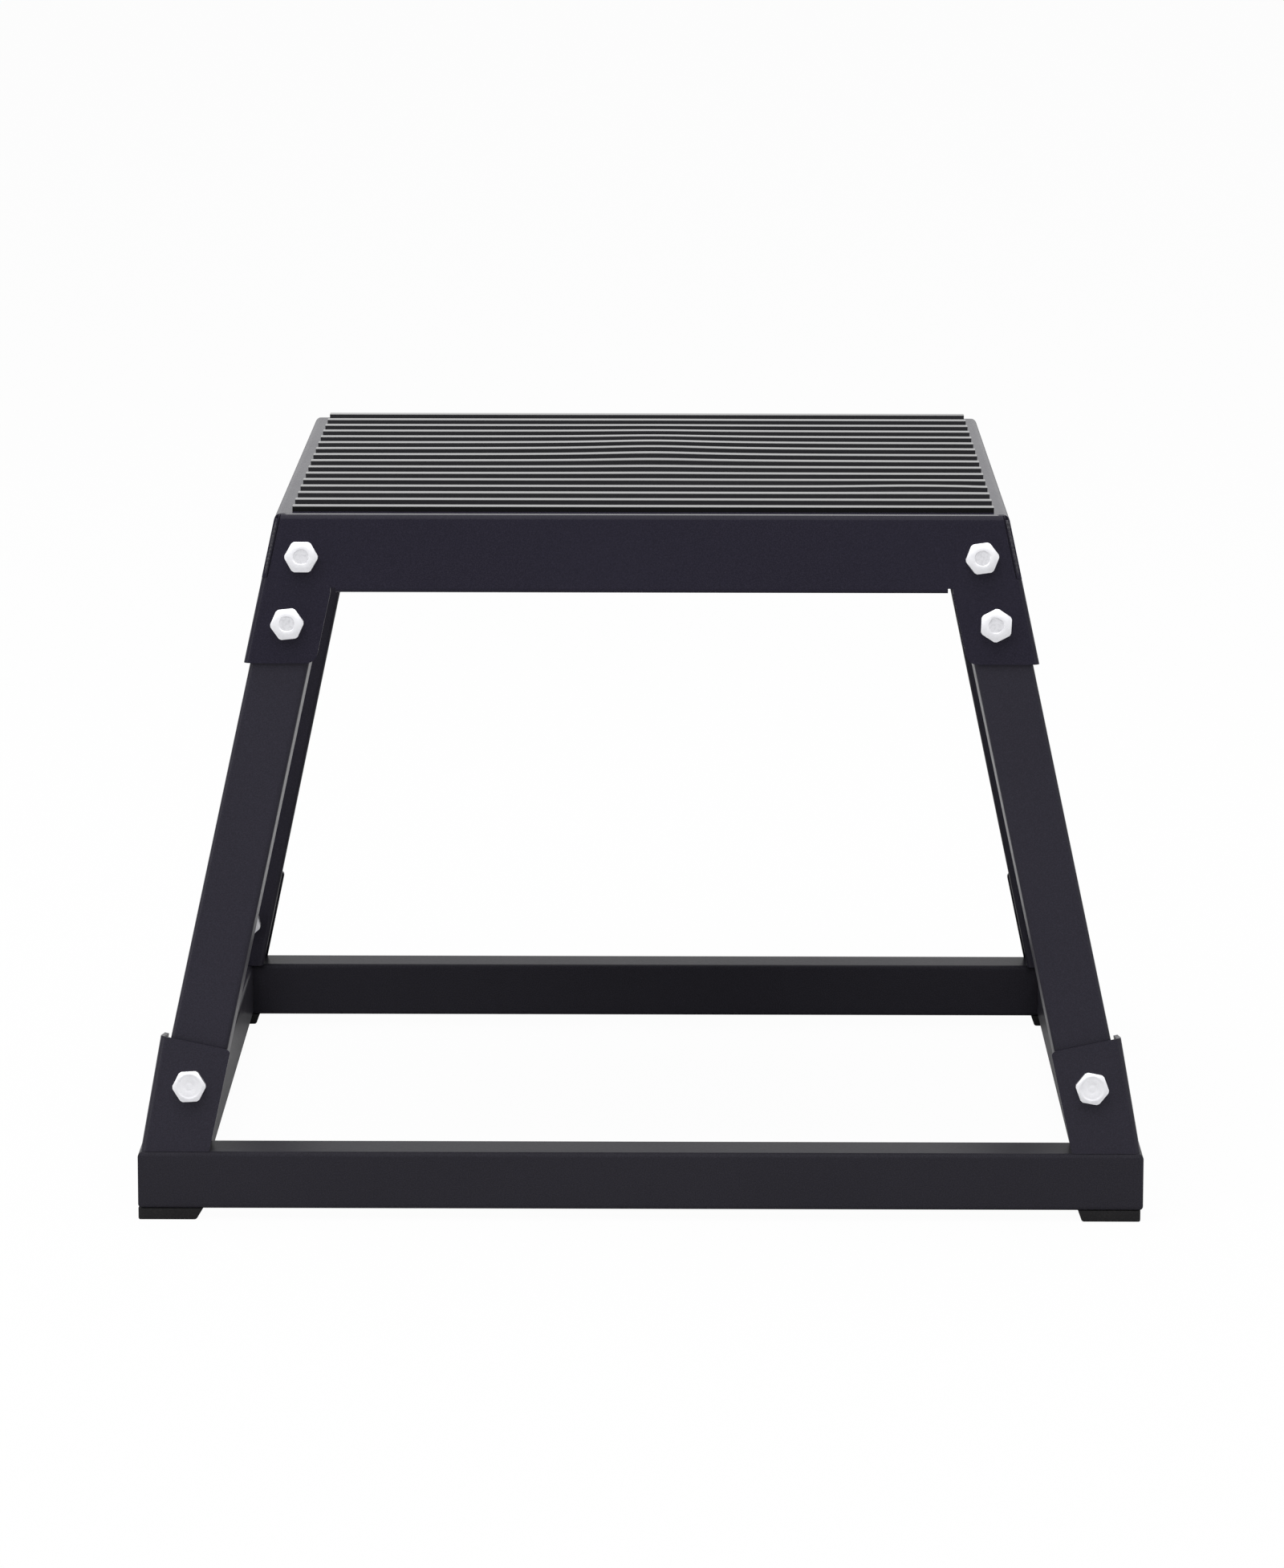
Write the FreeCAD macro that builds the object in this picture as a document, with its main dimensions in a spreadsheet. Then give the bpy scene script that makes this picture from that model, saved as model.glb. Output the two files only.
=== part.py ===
import FreeCAD, Part
import math
import os

import Sketcher

# Driving dimensions of the box, in millimetres
SIZES = (
    ("base_width", 434.0, "outside width of the floor frame"),
    ("base_depth", 434.0, "outside depth of the floor frame"),
    ("tube_size", 25.0, "outside of the square tube in frame and legs"),
    ("tube_wall", 1.5, "wall of the square tube"),
    ("tube_corner", 2.2, "outside corner radius of the square tube"),
    ("foot_height", 5.0, "height of the rubber feet"),
    ("foot_length", 27.0, "length of a foot along its rail"),
    ("foot_width", 24.0, "width of a foot across its rail"),
    ("foot_bevel", 2.0, "run of the bevel at the inner end of a foot"),
    ("foot_setback", 1.0, "distance of a foot from the corner of the frame"),
    ("foot_edge", 0.8, "chamfer round the sole of a foot"),
    ("top_width", 316.0, "width of the platform between its side bends"),
    ("top_depth", 347.0, "depth of the platform between its end bends"),
    ("plate_top", 302.0, "height of the platform plate above the floor"),
    ("tray_sheet", 2.0, "sheet thickness of the platform tray"),
    ("tray_bend", 3.0, "outside radius of the tray bends"),
    ("apron_drop", 33.5, "height of the aprons round the platform"),
    ("ear_drop", 63.6, "height of the corner ears"),
    ("ear_overlap", 2.7, "cover of an ear past the inner side of its leg"),
    ("ear_corner", 5.0, "radius at the inner lower corner of an ear"),
    ("seam_drop", 27.0, "length of the open seam down each corner"),
    ("seam_gap", 0.5, "width of the corner seam"),
    ("corner_relief", 1.5, "notch where two tray bends meet at a corner of the plate"),
    ("lip_reach", 12.0, "reach of the lip turned in below each apron"),
    ("lip_bend", 1.7, "outside bend radius of the lips"),
    ("lip_relief", 2.2, "relief notch between a lip and an ear"),
    ("relief_gap", 0.2, "height of that notch above the end of the lip bend"),
    ("side_gap", 0.6, "clearance between a leg and the plate beside it"),
    ("head_gap", 1.5, "clearance between a leg and the plate above it"),
    ("socket_sheet", 1.8, "plate thickness of the leg sockets"),
    ("socket_bend", 3.0, "outside bend radius of the leg sockets"),
    ("socket_length", 50.0, "length of a socket along its leg"),
    ("socket_overlap", 1.5, "cover of a socket plate past its leg"),
    ("socket_corner", 1.8, "radius at the upper free corners of a socket"),
    ("socket_gap", 0.8, "clearance between a leg and its socket at the foot"),
    ("socket_flare", 1.8, "growth of that clearance up to the top of the socket"),
    ("socket_inset", 1.3, "distance of a socket from the outside of the frame"),
    ("mat_side_inset", 6.0, "plate left bare beside the mat"),
    ("mat_end_inset", 8.0, "plate left bare in front of the mat and behind it"),
    ("mat_base", 1.0, "thickness of the mat between its ribs"),
    ("rib_height", 2.0, "height of a mat rib"),
    ("rib_width", 7.0, "width of a mat rib"),
    ("rib_chamfer", 0.4, "chamfer along the top of a mat rib"),
    ("rib_count", 16, "number of mat ribs"),
    ("bolt_shank", 8.0, "bolt diameter"),
    ("bolt_hole", 9.0, "clearance hole for a bolt"),
    ("bolt_flats", 13.0, "bolt head and nut across flats"),
    ("bolt_head", 5.3, "height of a bolt head"),
    ("bolt_tail", 2.5, "bolt showing past its nut"),
    ("nut_height", 6.5, "height of a nut"),
    ("nut_clearance", 0.1, "room on diameter between nut and bolt"),
    ("ear_bolt_drop", 16.8, "upper ear bolt below the top of the leg edge"),
    ("ear_bolt_pitch", 29.5, "distance between the two bolts of an ear"),
    ("socket_bolt_rise", 31.3, "socket bolt above the foot of the leg edge"),
)

# Values that follow from the driving dimensions
DERIVED = (
    ("rail_top", "Sizes.foot_height + Sizes.tube_size"),
    ("rise", "Sizes.plate_top - rail_top"),
    ("sheet_step", "Sizes.socket_sheet - Sizes.tray_sheet"),
    ("base_inset", "Sizes.socket_inset + sheet_step"),
    ("lean_x", "((Sizes.base_width - Sizes.top_width) / 2 - base_inset) / rise"),
    ("lean_y", "((Sizes.base_depth - Sizes.top_depth) / 2 - base_inset) / rise"),
    ("slant_x", "sqrt(1 + lean_x^2)"),
    ("slant_y", "sqrt(1 + lean_y^2)"),
    ("slant", "sqrt(1 + lean_x^2 + lean_y^2)"),
    ("leg_length", "rise * slant"),
    ("half_tube", "Sizes.tube_size / 2"),
    ("leg_inset", "(Sizes.tray_sheet + Sizes.side_gap) * slant_x"),
    ("ear_width", "leg_inset + (Sizes.tube_size + Sizes.ear_overlap) * slant_x"),
    ("ear_return", "(Sizes.tray_sheet + Sizes.tube_size + Sizes.ear_overlap) * slant_y"),
    ("socket_bolt_drop", "leg_length - Sizes.socket_bolt_rise"),
    ("cut_margin", "Sizes.tube_size"),
)

# How far each bolt head is turned on its axis, in degrees, by corner and then from the top bolt down
HEAD_TURNS = {
    ("left", "front"): (0, 6, 3),
    ("right", "front"): (8, 27, 50),
    ("left", "rear"): (9, 41, 18),
    ("right", "rear"): (33, 14, 48),
}
CORNERS = tuple(HEAD_TURNS)
MIRROR_X = FreeCAD.Vector(1, 0, 0)
MIRROR_Y = FreeCAD.Vector(0, 1, 0)
NEAR = 1e-4

doc = FreeCAD.newDocument("plyo_box")
sheet = doc.addObject("Spreadsheet::Sheet", "Sizes")
for row, (alias, amount, note) in enumerate(SIZES, start=1):
    sheet.set(f"A{row}", note)
    sheet.set(f"B{row}", str(amount))
    sheet.setAlias(f"B{row}", alias)
doc.recompute()
derived = doc.addObject("App::VarSet", "Derived")
for name, formula in DERIVED:
    derived.addProperty("App::PropertyFloat", name)
    derived.setExpression(name, formula)
doc.recompute()


def size(alias):
    return float(sheet.get(alias))


def bind(target, **formulas):
    for prop, formula in formulas.items():
        target.setExpression(prop.replace("__", "."), formula)


def plane(body, role):
    return next(item for item in body.Origin.OriginFeatures if item.Role == role)


def new_body(name):
    return doc.addObject("PartDesign::Body", name)


def new_sketch(body, name, role):
    sketch = body.newObject("Sketcher::SketchObject", name)
    sketch.AttachmentSupport = (plane(body, role), [""])
    sketch.MapMode = "FlatFace"
    return sketch


def fix_point(sketch, geo, pos, x, y):
    """Hold one sketch point at a pair of formulas, measured from the sketch origin."""
    for kind, formula, axis in (("DistanceX", x, -2), ("DistanceY", y, -1)):
        if formula == "0":
            sketch.addConstraint(Sketcher.Constraint("PointOnObject", geo, pos, axis))
            continue
        guess = sheet.evalExpression(formula)
        index = sketch.addConstraint(Sketcher.Constraint(kind, -1, 1, geo, pos, guess))
        sketch.setExpression(f"Constraints[{index}]", formula)


def polygon(sketch, corners):
    """Closed outline through corners given as pairs of formulas."""
    points = [FreeCAD.Vector(*(sheet.evalExpression(part) for part in corner), 0) for corner in corners]
    first = sketch.GeometryCount
    count = len(points)
    for index in range(count):
        sketch.addGeometry(Part.LineSegment(points[index], points[(index + 1) % count]))
    for index in range(count):
        joint = (first + index, 2, first + (index + 1) % count, 1)
        sketch.addConstraint(Sketcher.Constraint("Coincident", *joint))
    for index, corner in enumerate(corners):
        fix_point(sketch, first + index, 1, *corner)


def mirrored_polygon(sketch, corners):
    """The outline and its twin on the other side of the vertical sketch axis."""
    polygon(sketch, corners)
    polygon(sketch, [(f"-({x})", y) for x, y in corners])


def circle(sketch, x, y, diameter):
    center = FreeCAD.Vector(sheet.evalExpression(x), sheet.evalExpression(y), 0)
    radius = sheet.evalExpression(diameter) / 2
    geo = sketch.addGeometry(Part.Circle(center, FreeCAD.Vector(0, 0, 1), radius))
    fix_point(sketch, geo, 3, x, y)
    index = sketch.addConstraint(Sketcher.Constraint("Diameter", geo, 2 * radius))
    sketch.setExpression(f"Constraints[{index}]", diameter)


def rounded_square(sketch, width, radius):
    """Square with rounded corners about the sketch origin."""
    half = sheet.evalExpression(width) / 2
    bend = sheet.evalExpression(radius)
    flat = half - bend
    first = sketch.GeometryCount
    for quarter in range(4):
        turn = FreeCAD.Rotation(FreeCAD.Vector(0, 0, 1), 90 * quarter)
        start = turn.multVec(FreeCAD.Vector(-flat, -half, 0))
        end = turn.multVec(FreeCAD.Vector(flat, -half, 0))
        center = turn.multVec(FreeCAD.Vector(flat, -flat, 0))
        sketch.addGeometry(Part.LineSegment(start, end))
        round_corner = Part.Circle(center, FreeCAD.Vector(0, 0, 1), bend)
        angle = math.radians(90 * quarter - 90)
        sketch.addGeometry(Part.ArcOfCircle(round_corner, angle, angle + math.pi / 2))
    for step in range(8):
        joint = (first + step, 2, first + (step + 1) % 8, 1)
        sketch.addConstraint(Sketcher.Constraint("Tangent", *joint))
    for step, kind in ((0, "Horizontal"), (2, "Vertical"), (4, "Horizontal"), (6, "Vertical")):
        sketch.addConstraint(Sketcher.Constraint(kind, first + step))
    for step in (3, 5, 7):
        sketch.addConstraint(Sketcher.Constraint("Equal", first + 1, first + step))
    sketch.addConstraint(Sketcher.Constraint("Symmetric", first, 1, first + 4, 1, -1, 1))
    held = (
        (Sketcher.Constraint("DistanceX", first + 6, 2, first + 2, 1, 2 * half), width),
        (Sketcher.Constraint("DistanceY", first, 1, first + 4, 1, 2 * half), width),
        (Sketcher.Constraint("Radius", first + 1, bend), radius),
    )
    for constraint, formula in held:
        index = sketch.addConstraint(constraint)
        sketch.setExpression(f"Constraints[{index}]", formula)


def tube_section(sketch):
    """Square tube with rounded outside corners about the sketch origin."""
    rounded_square(sketch, "Sizes.tube_size", "Sizes.tube_corner")
    bore = "Derived.half_tube - Sizes.tube_wall"
    polygon(sketch, ((f"-({bore})", f"-({bore})"), (bore, f"-({bore})"), (bore, bore), (f"-({bore})", bore)))


def pad(body, sketch, length, side="One side", reverse=False):
    feature = body.newObject("PartDesign::Pad", f"{sketch.Name}_pad")
    feature.Profile = sketch
    feature.SideType = side
    feature.Reversed = reverse
    bind(feature, Length=length)
    doc.recompute()
    return feature


def cut_through(body, sketch):
    feature = body.newObject("PartDesign::Pocket", f"{sketch.Name}_cut")
    feature.Profile = sketch
    feature.SideType = "Symmetric"
    feature.Type = "ThroughAll"
    doc.recompute()
    return feature


def cut_depth(body, sketch, length, reverse=False):
    feature = body.newObject("PartDesign::Pocket", f"{sketch.Name}_cut")
    feature.Profile = sketch
    feature.Reversed = reverse
    bind(feature, Length=length)
    doc.recompute()
    return feature


def mirror_feature(body, features, role):
    feature = body.newObject("PartDesign::Mirrored", f"{features[0].Name}_twin")
    feature.Originals = features
    feature.MirrorPlane = (plane(body, role), [""])
    body.Tip = feature
    doc.recompute()
    return feature


def dress_edges(body, kind, wanted, **formulas):
    """Fillet or chamfer every edge of the body so far that answers the test."""
    base = body.Tip
    names = [f"Edge{i}" for i, edge in enumerate(base.Shape.Edges, start=1) if wanted(edge)]
    feature = body.newObject(f"PartDesign::{kind}", f"{base.Name}_{kind}")
    feature.Base = (base, names)
    bind(feature, **formulas)
    doc.recompute()
    return feature


def round_edges(body, wanted, radius):
    return dress_edges(body, "Fillet", wanted, Radius=radius)


def primitive(body, kind, name, level, turn=FreeCAD.Rotation(), **formulas):
    """Basic solid on the XY plane of the body, raised to a level and turned."""
    feature = body.newObject(f"PartDesign::{kind}", name)
    feature.AttachmentSupport = (plane(body, "XY_Plane"), [""])
    feature.MapMode = "FlatFace"
    feature.AttachmentOffset = FreeCAD.Placement(FreeCAD.Vector(), turn)
    bind(feature, AttachmentOffset__Base__z=level, **formulas)
    doc.recompute()
    return feature


def wedge(body, kind, name, level, height, low, top):
    """Block with flat sides between two rectangles, each given by its limits in x and y."""
    sizes = {"Ymin": "0", "Ymax": height}
    for mark, (x_min, x_max, y_min, y_max) in (("", low), ("2", top)):
        sizes[f"X{mark}min"] = x_min
        sizes[f"X{mark}max"] = x_max
        sizes[f"Z{mark}min"] = f"-({y_max})"
        sizes[f"Z{mark}max"] = f"-({y_min})"
    return primitive(body, kind, name, level, FreeCAD.Rotation(MIRROR_X, 90), **sizes)


def heights(edge):
    return [vertex.Z for vertex in edge.Vertexes]


def is_level(edge, height):
    return all(abs(z - height) < NEAR for z in heights(edge))


def span(edge):
    """Extent of an edge along the three axes of its body."""
    box = edge.BoundBox
    return box.XLength, box.YLength, box.ZLength


# One corner of the box: the leg edge nearest the outside of the tray sets the frame of leg and socket
def corner_placement():
    up = FreeCAD.Vector(derived.lean_x, derived.lean_y, 1).normalize()
    out = FreeCAD.Vector(0, -1, derived.lean_y).normalize()
    side = out.cross(up)
    edge_x = size("top_width") / 2 - derived.leg_inset
    edge_y = size("top_depth") / 2 - size("tray_sheet") * derived.slant_y
    edge = FreeCAD.Vector(-edge_x, -edge_y, size("plate_top"))
    axis = edge - (out + side) * derived.half_tube
    return FreeCAD.Placement(axis, FreeCAD.Rotation(side, out, up, "ZXY"))


CORNER = corner_placement()


def base_rail(label, length, place):
    """Square tube along its local X, mitred so that the side at +Y is the short one."""
    body = new_body(label)
    section = new_sketch(body, f"{label}_section", "YZ_Plane")
    tube_section(section)
    pad(body, section, length, side="Symmetric")
    mitre = new_sketch(body, f"{label}_mitre", "XY_Plane")
    far_x = f"{length} / 2 + Derived.cut_margin"
    far_y = "Derived.half_tube + Derived.cut_margin"
    near_x = f"{length} / 2 - Sizes.tube_size - Derived.cut_margin"
    polygon(mitre, ((far_x, f"-({far_y})"), (far_x, far_y), (near_x, far_y)))
    mirror_feature(body, [cut_through(body, mitre)], "YZ_Plane")
    body.Placement = place
    return body


def leg_stock(label):
    """Drilled square tube in the corner frame, longer than the leg at both ends."""
    body = new_body(label)
    section = new_sketch(body, f"{label}_section", "XY_Plane")
    tube_section(section)
    stock = pad(body, section, "Derived.cut_margin", side="Two sides")
    bind(stock, Length2="Derived.leg_length + Derived.cut_margin")
    drilling = new_sketch(body, f"{label}_drilling", "XZ_Plane")
    upper = "Sizes.ear_bolt_drop"
    lower = "Sizes.ear_bolt_drop + Sizes.ear_bolt_pitch"
    for drop in (upper, lower, "Derived.socket_bolt_drop"):
        circle(drilling, "0", f"-({drop})", "Sizes.bolt_hole")
    cut_through(body, drilling)
    body.Placement = CORNER
    return body


def socket_stock(label):
    """Bent angle plate in the corner frame, longer than the socket at its foot."""
    body = new_body(label)
    top_gap = "Sizes.socket_gap + Sizes.socket_flare"
    low_gap = "Sizes.socket_gap - Sizes.socket_flare * Derived.cut_margin / Sizes.socket_length"
    gaps = (low_gap, top_gap)
    level = "-(Derived.leg_length + Derived.cut_margin)"
    height = "Sizes.socket_length + Derived.cut_margin"
    free = "-(Derived.half_tube + Sizes.socket_overlap)"
    past = f"{free} - Sizes.socket_sheet"
    face = "Derived.half_tube"
    face_out = f"{face} + Sizes.socket_sheet"
    outer = [(free, f"{face_out} + {gap}", free, face_out) for gap in gaps]
    inner = [(past, f"{face} + {gap}", past, face) for gap in gaps]
    wedge(body, "AdditiveWedge", f"{label}_block", level, height, *outer)
    out_y = derived.half_tube + size("socket_sheet")

    def outer_bend(edge):
        middle = edge.CenterOfMass
        return span(edge)[2] > NEAR and abs(middle.y - out_y) < NEAR and middle.x > derived.half_tube

    round_edges(body, outer_bend, "Sizes.socket_bend")
    wedge(body, "SubtractiveWedge", f"{label}_hollow", level, height, *inner)
    top = -(derived.leg_length - size("socket_length"))
    free_end = -(derived.half_tube + size("socket_overlap"))

    def upper_corner(edge):
        middle = edge.CenterOfMass
        at_end = abs(middle.x - free_end) < NEAR or abs(middle.y - free_end) < NEAR
        return is_level(edge, top) and at_end

    round_edges(body, upper_corner, "Sizes.socket_corner")
    drilling = new_sketch(body, f"{label}_drilling", "XZ_Plane")
    circle(drilling, "0", "-Derived.socket_bolt_drop", "Sizes.bolt_hole")
    cut_through(body, drilling)
    body.Placement = CORNER
    return body


def trimmed(label, stock, slab):
    """The stock between the top of the floor frame and the underside of the platform."""
    piece = doc.addObject("Part::Common", label)
    piece.Base = stock
    piece.Tool = slab
    return piece


def foot(label):
    """Rubber pad, bevelled at the end away from the corner."""
    body = new_body(label)
    outline = new_sketch(body, f"{label}_outline", "XZ_Plane")
    sole = "Sizes.foot_length - Sizes.foot_bevel"
    seat = "Sizes.foot_height"
    polygon(outline, (("0", "0"), (sole, "0"), ("Sizes.foot_length", seat), ("0", seat)))
    pad(body, outline, "Sizes.foot_width", side="Symmetric")
    dress_edges(body, "Chamfer", lambda edge: is_level(edge, 0), Size="Sizes.foot_edge")
    corner_x = size("base_width") / 2 - size("foot_setback")
    corner_y = size("base_depth") / 2 - derived.half_tube
    body.Placement.Base = FreeCAD.Vector(-corner_x, -corner_y, 0)
    return body


def mirrored(label, source, normal):
    piece = doc.addObject("Part::Mirroring", label)
    piece.Source = source
    piece.Normal = normal
    return piece


def four_corners(kind, front_left):
    """The piece and its three mirrored twins at the other corners."""
    front_right = mirrored(f"front_right_{kind}", front_left, MIRROR_X)
    rear_left = mirrored(f"rear_left_{kind}", front_left, MIRROR_Y)
    rear_right = mirrored(f"rear_right_{kind}", front_right, MIRROR_Y)
    return [front_left, front_right, rear_left, rear_right]


# The tray narrows upwards by the lean of the legs; these are its half sizes at a drop below the plate
def half_width(drop):
    return f"(Sizes.top_width / 2 + Derived.lean_x * ({drop}))"


def half_depth(drop):
    return f"(Sizes.top_depth / 2 + Derived.lean_y * ({drop}))"


def tray_wedge(body, kind, name, top_drop, low_drop, inset="0"):
    """Tapered block between two drops below the plate, with its walls set in by a sheet or none."""
    outlines = []
    for drop in (low_drop, top_drop):
        x = f"{half_width(drop)} - {inset} * Derived.slant_x"
        y = f"{half_depth(drop)} - {inset} * Derived.slant_y"
        outlines.append((f"-({x})", x, f"-({y})", y))
    level = f"Sizes.plate_top - ({low_drop})"
    return wedge(body, kind, name, level, f"{low_drop} - ({top_drop})", *outlines)


def apron_sketch(body, name):
    """Sketch in the outside of the front apron, with its origin at the plate edge."""
    sketch = new_sketch(body, name, "XZ_Plane")
    lean = FreeCAD.Rotation(MIRROR_X, -math.degrees(math.atan(derived.lean_y)))
    sketch.AttachmentOffset = FreeCAD.Placement(FreeCAD.Vector(), lean)
    bind(sketch, AttachmentOffset__Base__y="Sizes.plate_top")
    bind(sketch, AttachmentOffset__Base__z="Sizes.top_depth / 2")
    return sketch


def platform_tray(label):
    """Folded sheet: plate, four leaning aprons with lips turned in, and a bent ear at each corner."""
    body = new_body(label)
    below = "Sizes.ear_drop + Derived.cut_margin"
    above = "Sizes.seam_drop - Derived.cut_margin"
    tray_wedge(body, "AdditiveWedge", f"{label}_ears", above, below)
    round_edges(body, lambda edge: span(edge)[2] > NEAR, "Sizes.tray_bend")
    for name, level, upward in (("crop", "Sizes.seam_drop", True), ("foot", "Sizes.ear_drop", False)):
        outline = new_sketch(body, f"{label}_{name}", "XY_Plane")
        bind(outline, AttachmentOffset__Base__z=f"Sizes.plate_top - {level}")
        polygon(outline, (
            ("-Sizes.base_width", "-Sizes.base_depth"), ("Sizes.base_width", "-Sizes.base_depth"),
            ("Sizes.base_width", "Sizes.base_depth"), ("-Sizes.base_width", "Sizes.base_depth"),
        ))
        cut_depth(body, outline, "2 * Derived.cut_margin", reverse=upward)
    tray_wedge(body, "AdditiveWedge", f"{label}_block", "0", "Sizes.seam_drop")
    round_edges(body, lambda edge: is_level(edge, size("plate_top")), "Sizes.tray_bend")
    tray_wedge(body, "SubtractiveWedge", f"{label}_hollow", "Sizes.tray_sheet", below, "Sizes.tray_sheet")

    # Openings below the aprons leave the ears standing at the corners
    apron_x = f"{half_width('Sizes.apron_drop')} - Derived.ear_width"
    apron_y = f"{half_depth('Sizes.apron_drop')} - Derived.ear_return"
    apron_z = "Sizes.plate_top - Sizes.apron_drop"
    below_z = f"Sizes.plate_top - ({below})"
    ends = (
        ("XZ_Plane", "front", apron_x, f"{half_width(below)} - Derived.ear_width"),
        ("YZ_Plane", "side", apron_y, f"{half_depth(below)} - Derived.ear_return"),
    )
    for role, name, near, far in ends:
        opening = new_sketch(body, f"{label}_{name}_opening", role)
        polygon(opening, ((f"-({near})", apron_z), (near, apron_z), (far, below_z), (f"-({far})", below_z)))
        cut_through(body, opening)

    # Lips start inside the wall and reach in over the opening
    lips = new_sketch(body, f"{label}_lips", "XY_Plane")
    bind(lips, AttachmentOffset__Base__z=apron_z)
    wall = "Sizes.tray_sheet / 2"
    reach = "Sizes.tray_sheet + Sizes.lip_reach"
    lip_x = f"{apron_x} - Sizes.lip_relief"
    lip_y = f"{apron_y} - Sizes.lip_relief"
    side_near = f"{half_width('Sizes.apron_drop')} - ({wall})"
    side_far = f"{half_width('Sizes.apron_drop')} - ({reach})"
    mirrored_polygon(lips, (
        (side_near, f"-({lip_y})"), (side_near, lip_y), (side_far, lip_y), (side_far, f"-({lip_y})"),
    ))
    for sign in ("-", ""):
        end_near = f"{sign}({half_depth('Sizes.apron_drop')} - {wall})"
        end_far = f"{sign}({half_depth('Sizes.apron_drop')} - ({reach}))"
        polygon(lips, (
            (f"-({lip_x})", end_near), (lip_x, end_near), (lip_x, end_far), (f"-({lip_x})", end_far),
        ))
    pad(body, lips, "Sizes.tray_sheet")

    # Relief notches free the lip bends from the ears
    notch_low = f"{apron_z} - Sizes.lip_bend"
    reliefs = (
        ("XZ_Plane", "front", apron_x, lip_x, "Derived.lean_y / Derived.slant_y"),
        ("YZ_Plane", "side", apron_y, lip_y, "Derived.lean_x / Derived.slant_x"),
    )
    for role, name, near, free, lean in reliefs:
        notch_top = f"{apron_z} + Sizes.lip_bend * (1 + {lean}) + Sizes.relief_gap"
        notch = new_sketch(body, f"{label}_{name}_relief", role)
        mirrored_polygon(notch, (
            (free, notch_low), (near, notch_low), (near, notch_top), (free, notch_top),
        ))
        cut_through(body, notch)
    apron_level = size("plate_top") - size("apron_drop")
    outer_x = sheet.evalExpression(half_width("Sizes.apron_drop"))
    outer_y = sheet.evalExpression(half_depth("Sizes.apron_drop"))

    def lip_bend(edge):
        middle = edge.CenterOfMass
        on_outside = abs(abs(middle.x) - outer_x) < NEAR or abs(abs(middle.y) - outer_y) < NEAR
        return is_level(edge, apron_level) and on_outside

    round_edges(body, lip_bend, "Sizes.lip_bend")
    ear_level = size("plate_top") - size("ear_drop")
    inner_x = sheet.evalExpression(f"{half_width('Sizes.ear_drop')} - Derived.ear_width")
    inner_y = sheet.evalExpression(f"{half_depth('Sizes.ear_drop')} - Derived.ear_return")

    def ear_tip(edge):
        middle = edge.CenterOfMass
        inward = abs(abs(middle.x) - inner_x) < NEAR or abs(abs(middle.y) - inner_y) < NEAR
        return is_level(edge, ear_level) and inward

    round_edges(body, ear_tip, "Sizes.ear_corner")

    # Square notches take out the corners where two bends meet
    relief = new_sketch(body, f"{label}_corner_relief", "XY_Plane")
    bind(relief, AttachmentOffset__Base__z="Sizes.plate_top")
    near_x = "Sizes.top_width / 2 - Sizes.corner_relief"
    far_x = "Sizes.top_width / 2 + Sizes.corner_relief"
    for sign in ("-", ""):
        near_y = f"{sign}(Sizes.top_depth / 2 - Sizes.corner_relief)"
        far_y = f"{sign}(Sizes.top_depth / 2 + Sizes.corner_relief)"
        mirrored_polygon(relief, ((near_x, near_y), (far_x, near_y), (far_x, far_y), (near_x, far_y)))
    cut_depth(body, relief, "Sizes.tray_sheet")

    # Bolt holes and corner seams lie in the slope of the end aprons
    drilling = apron_sketch(body, f"{label}_drilling")
    for drop in ("Sizes.ear_bolt_drop", "(Sizes.ear_bolt_drop + Sizes.ear_bolt_pitch)"):
        along = f"{drop} / Derived.slant"
        across = "Derived.half_tube / Derived.slant"
        edge_x = "Sizes.top_width / 2 - Derived.leg_inset"
        x = f"{edge_x} + {along} * Derived.lean_x - {across} * Derived.slant_y"
        y = f"Sizes.tray_sheet * Derived.lean_y - {along} * Derived.slant_y - {across} * Derived.lean_x"
        for side in ("-", ""):
            circle(drilling, f"{side}({x})", y, "Sizes.bolt_hole")
    holes = cut_depth(body, drilling, "2 * Sizes.tray_sheet")
    seams = apron_sketch(body, f"{label}_seams")
    low = "-Sizes.seam_drop * Derived.slant_y"
    outer = "Sizes.tray_sheet * Derived.slant_x"
    inner = f"{outer} + Sizes.seam_gap"
    plate = half_width("0")
    foot_of_seam = half_width("Sizes.seam_drop")
    mirrored_polygon(seams, (
        (f"{plate} - {outer}", "0"), (f"{foot_of_seam} - {outer}", low),
        (f"{foot_of_seam} - ({inner})", low), (f"{plate} - ({inner})", "0"),
    ))
    grooves = cut_depth(body, seams, "0.6 * Sizes.tray_sheet")
    mirror_feature(body, [holes, grooves], "XZ_Plane")
    return body


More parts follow.
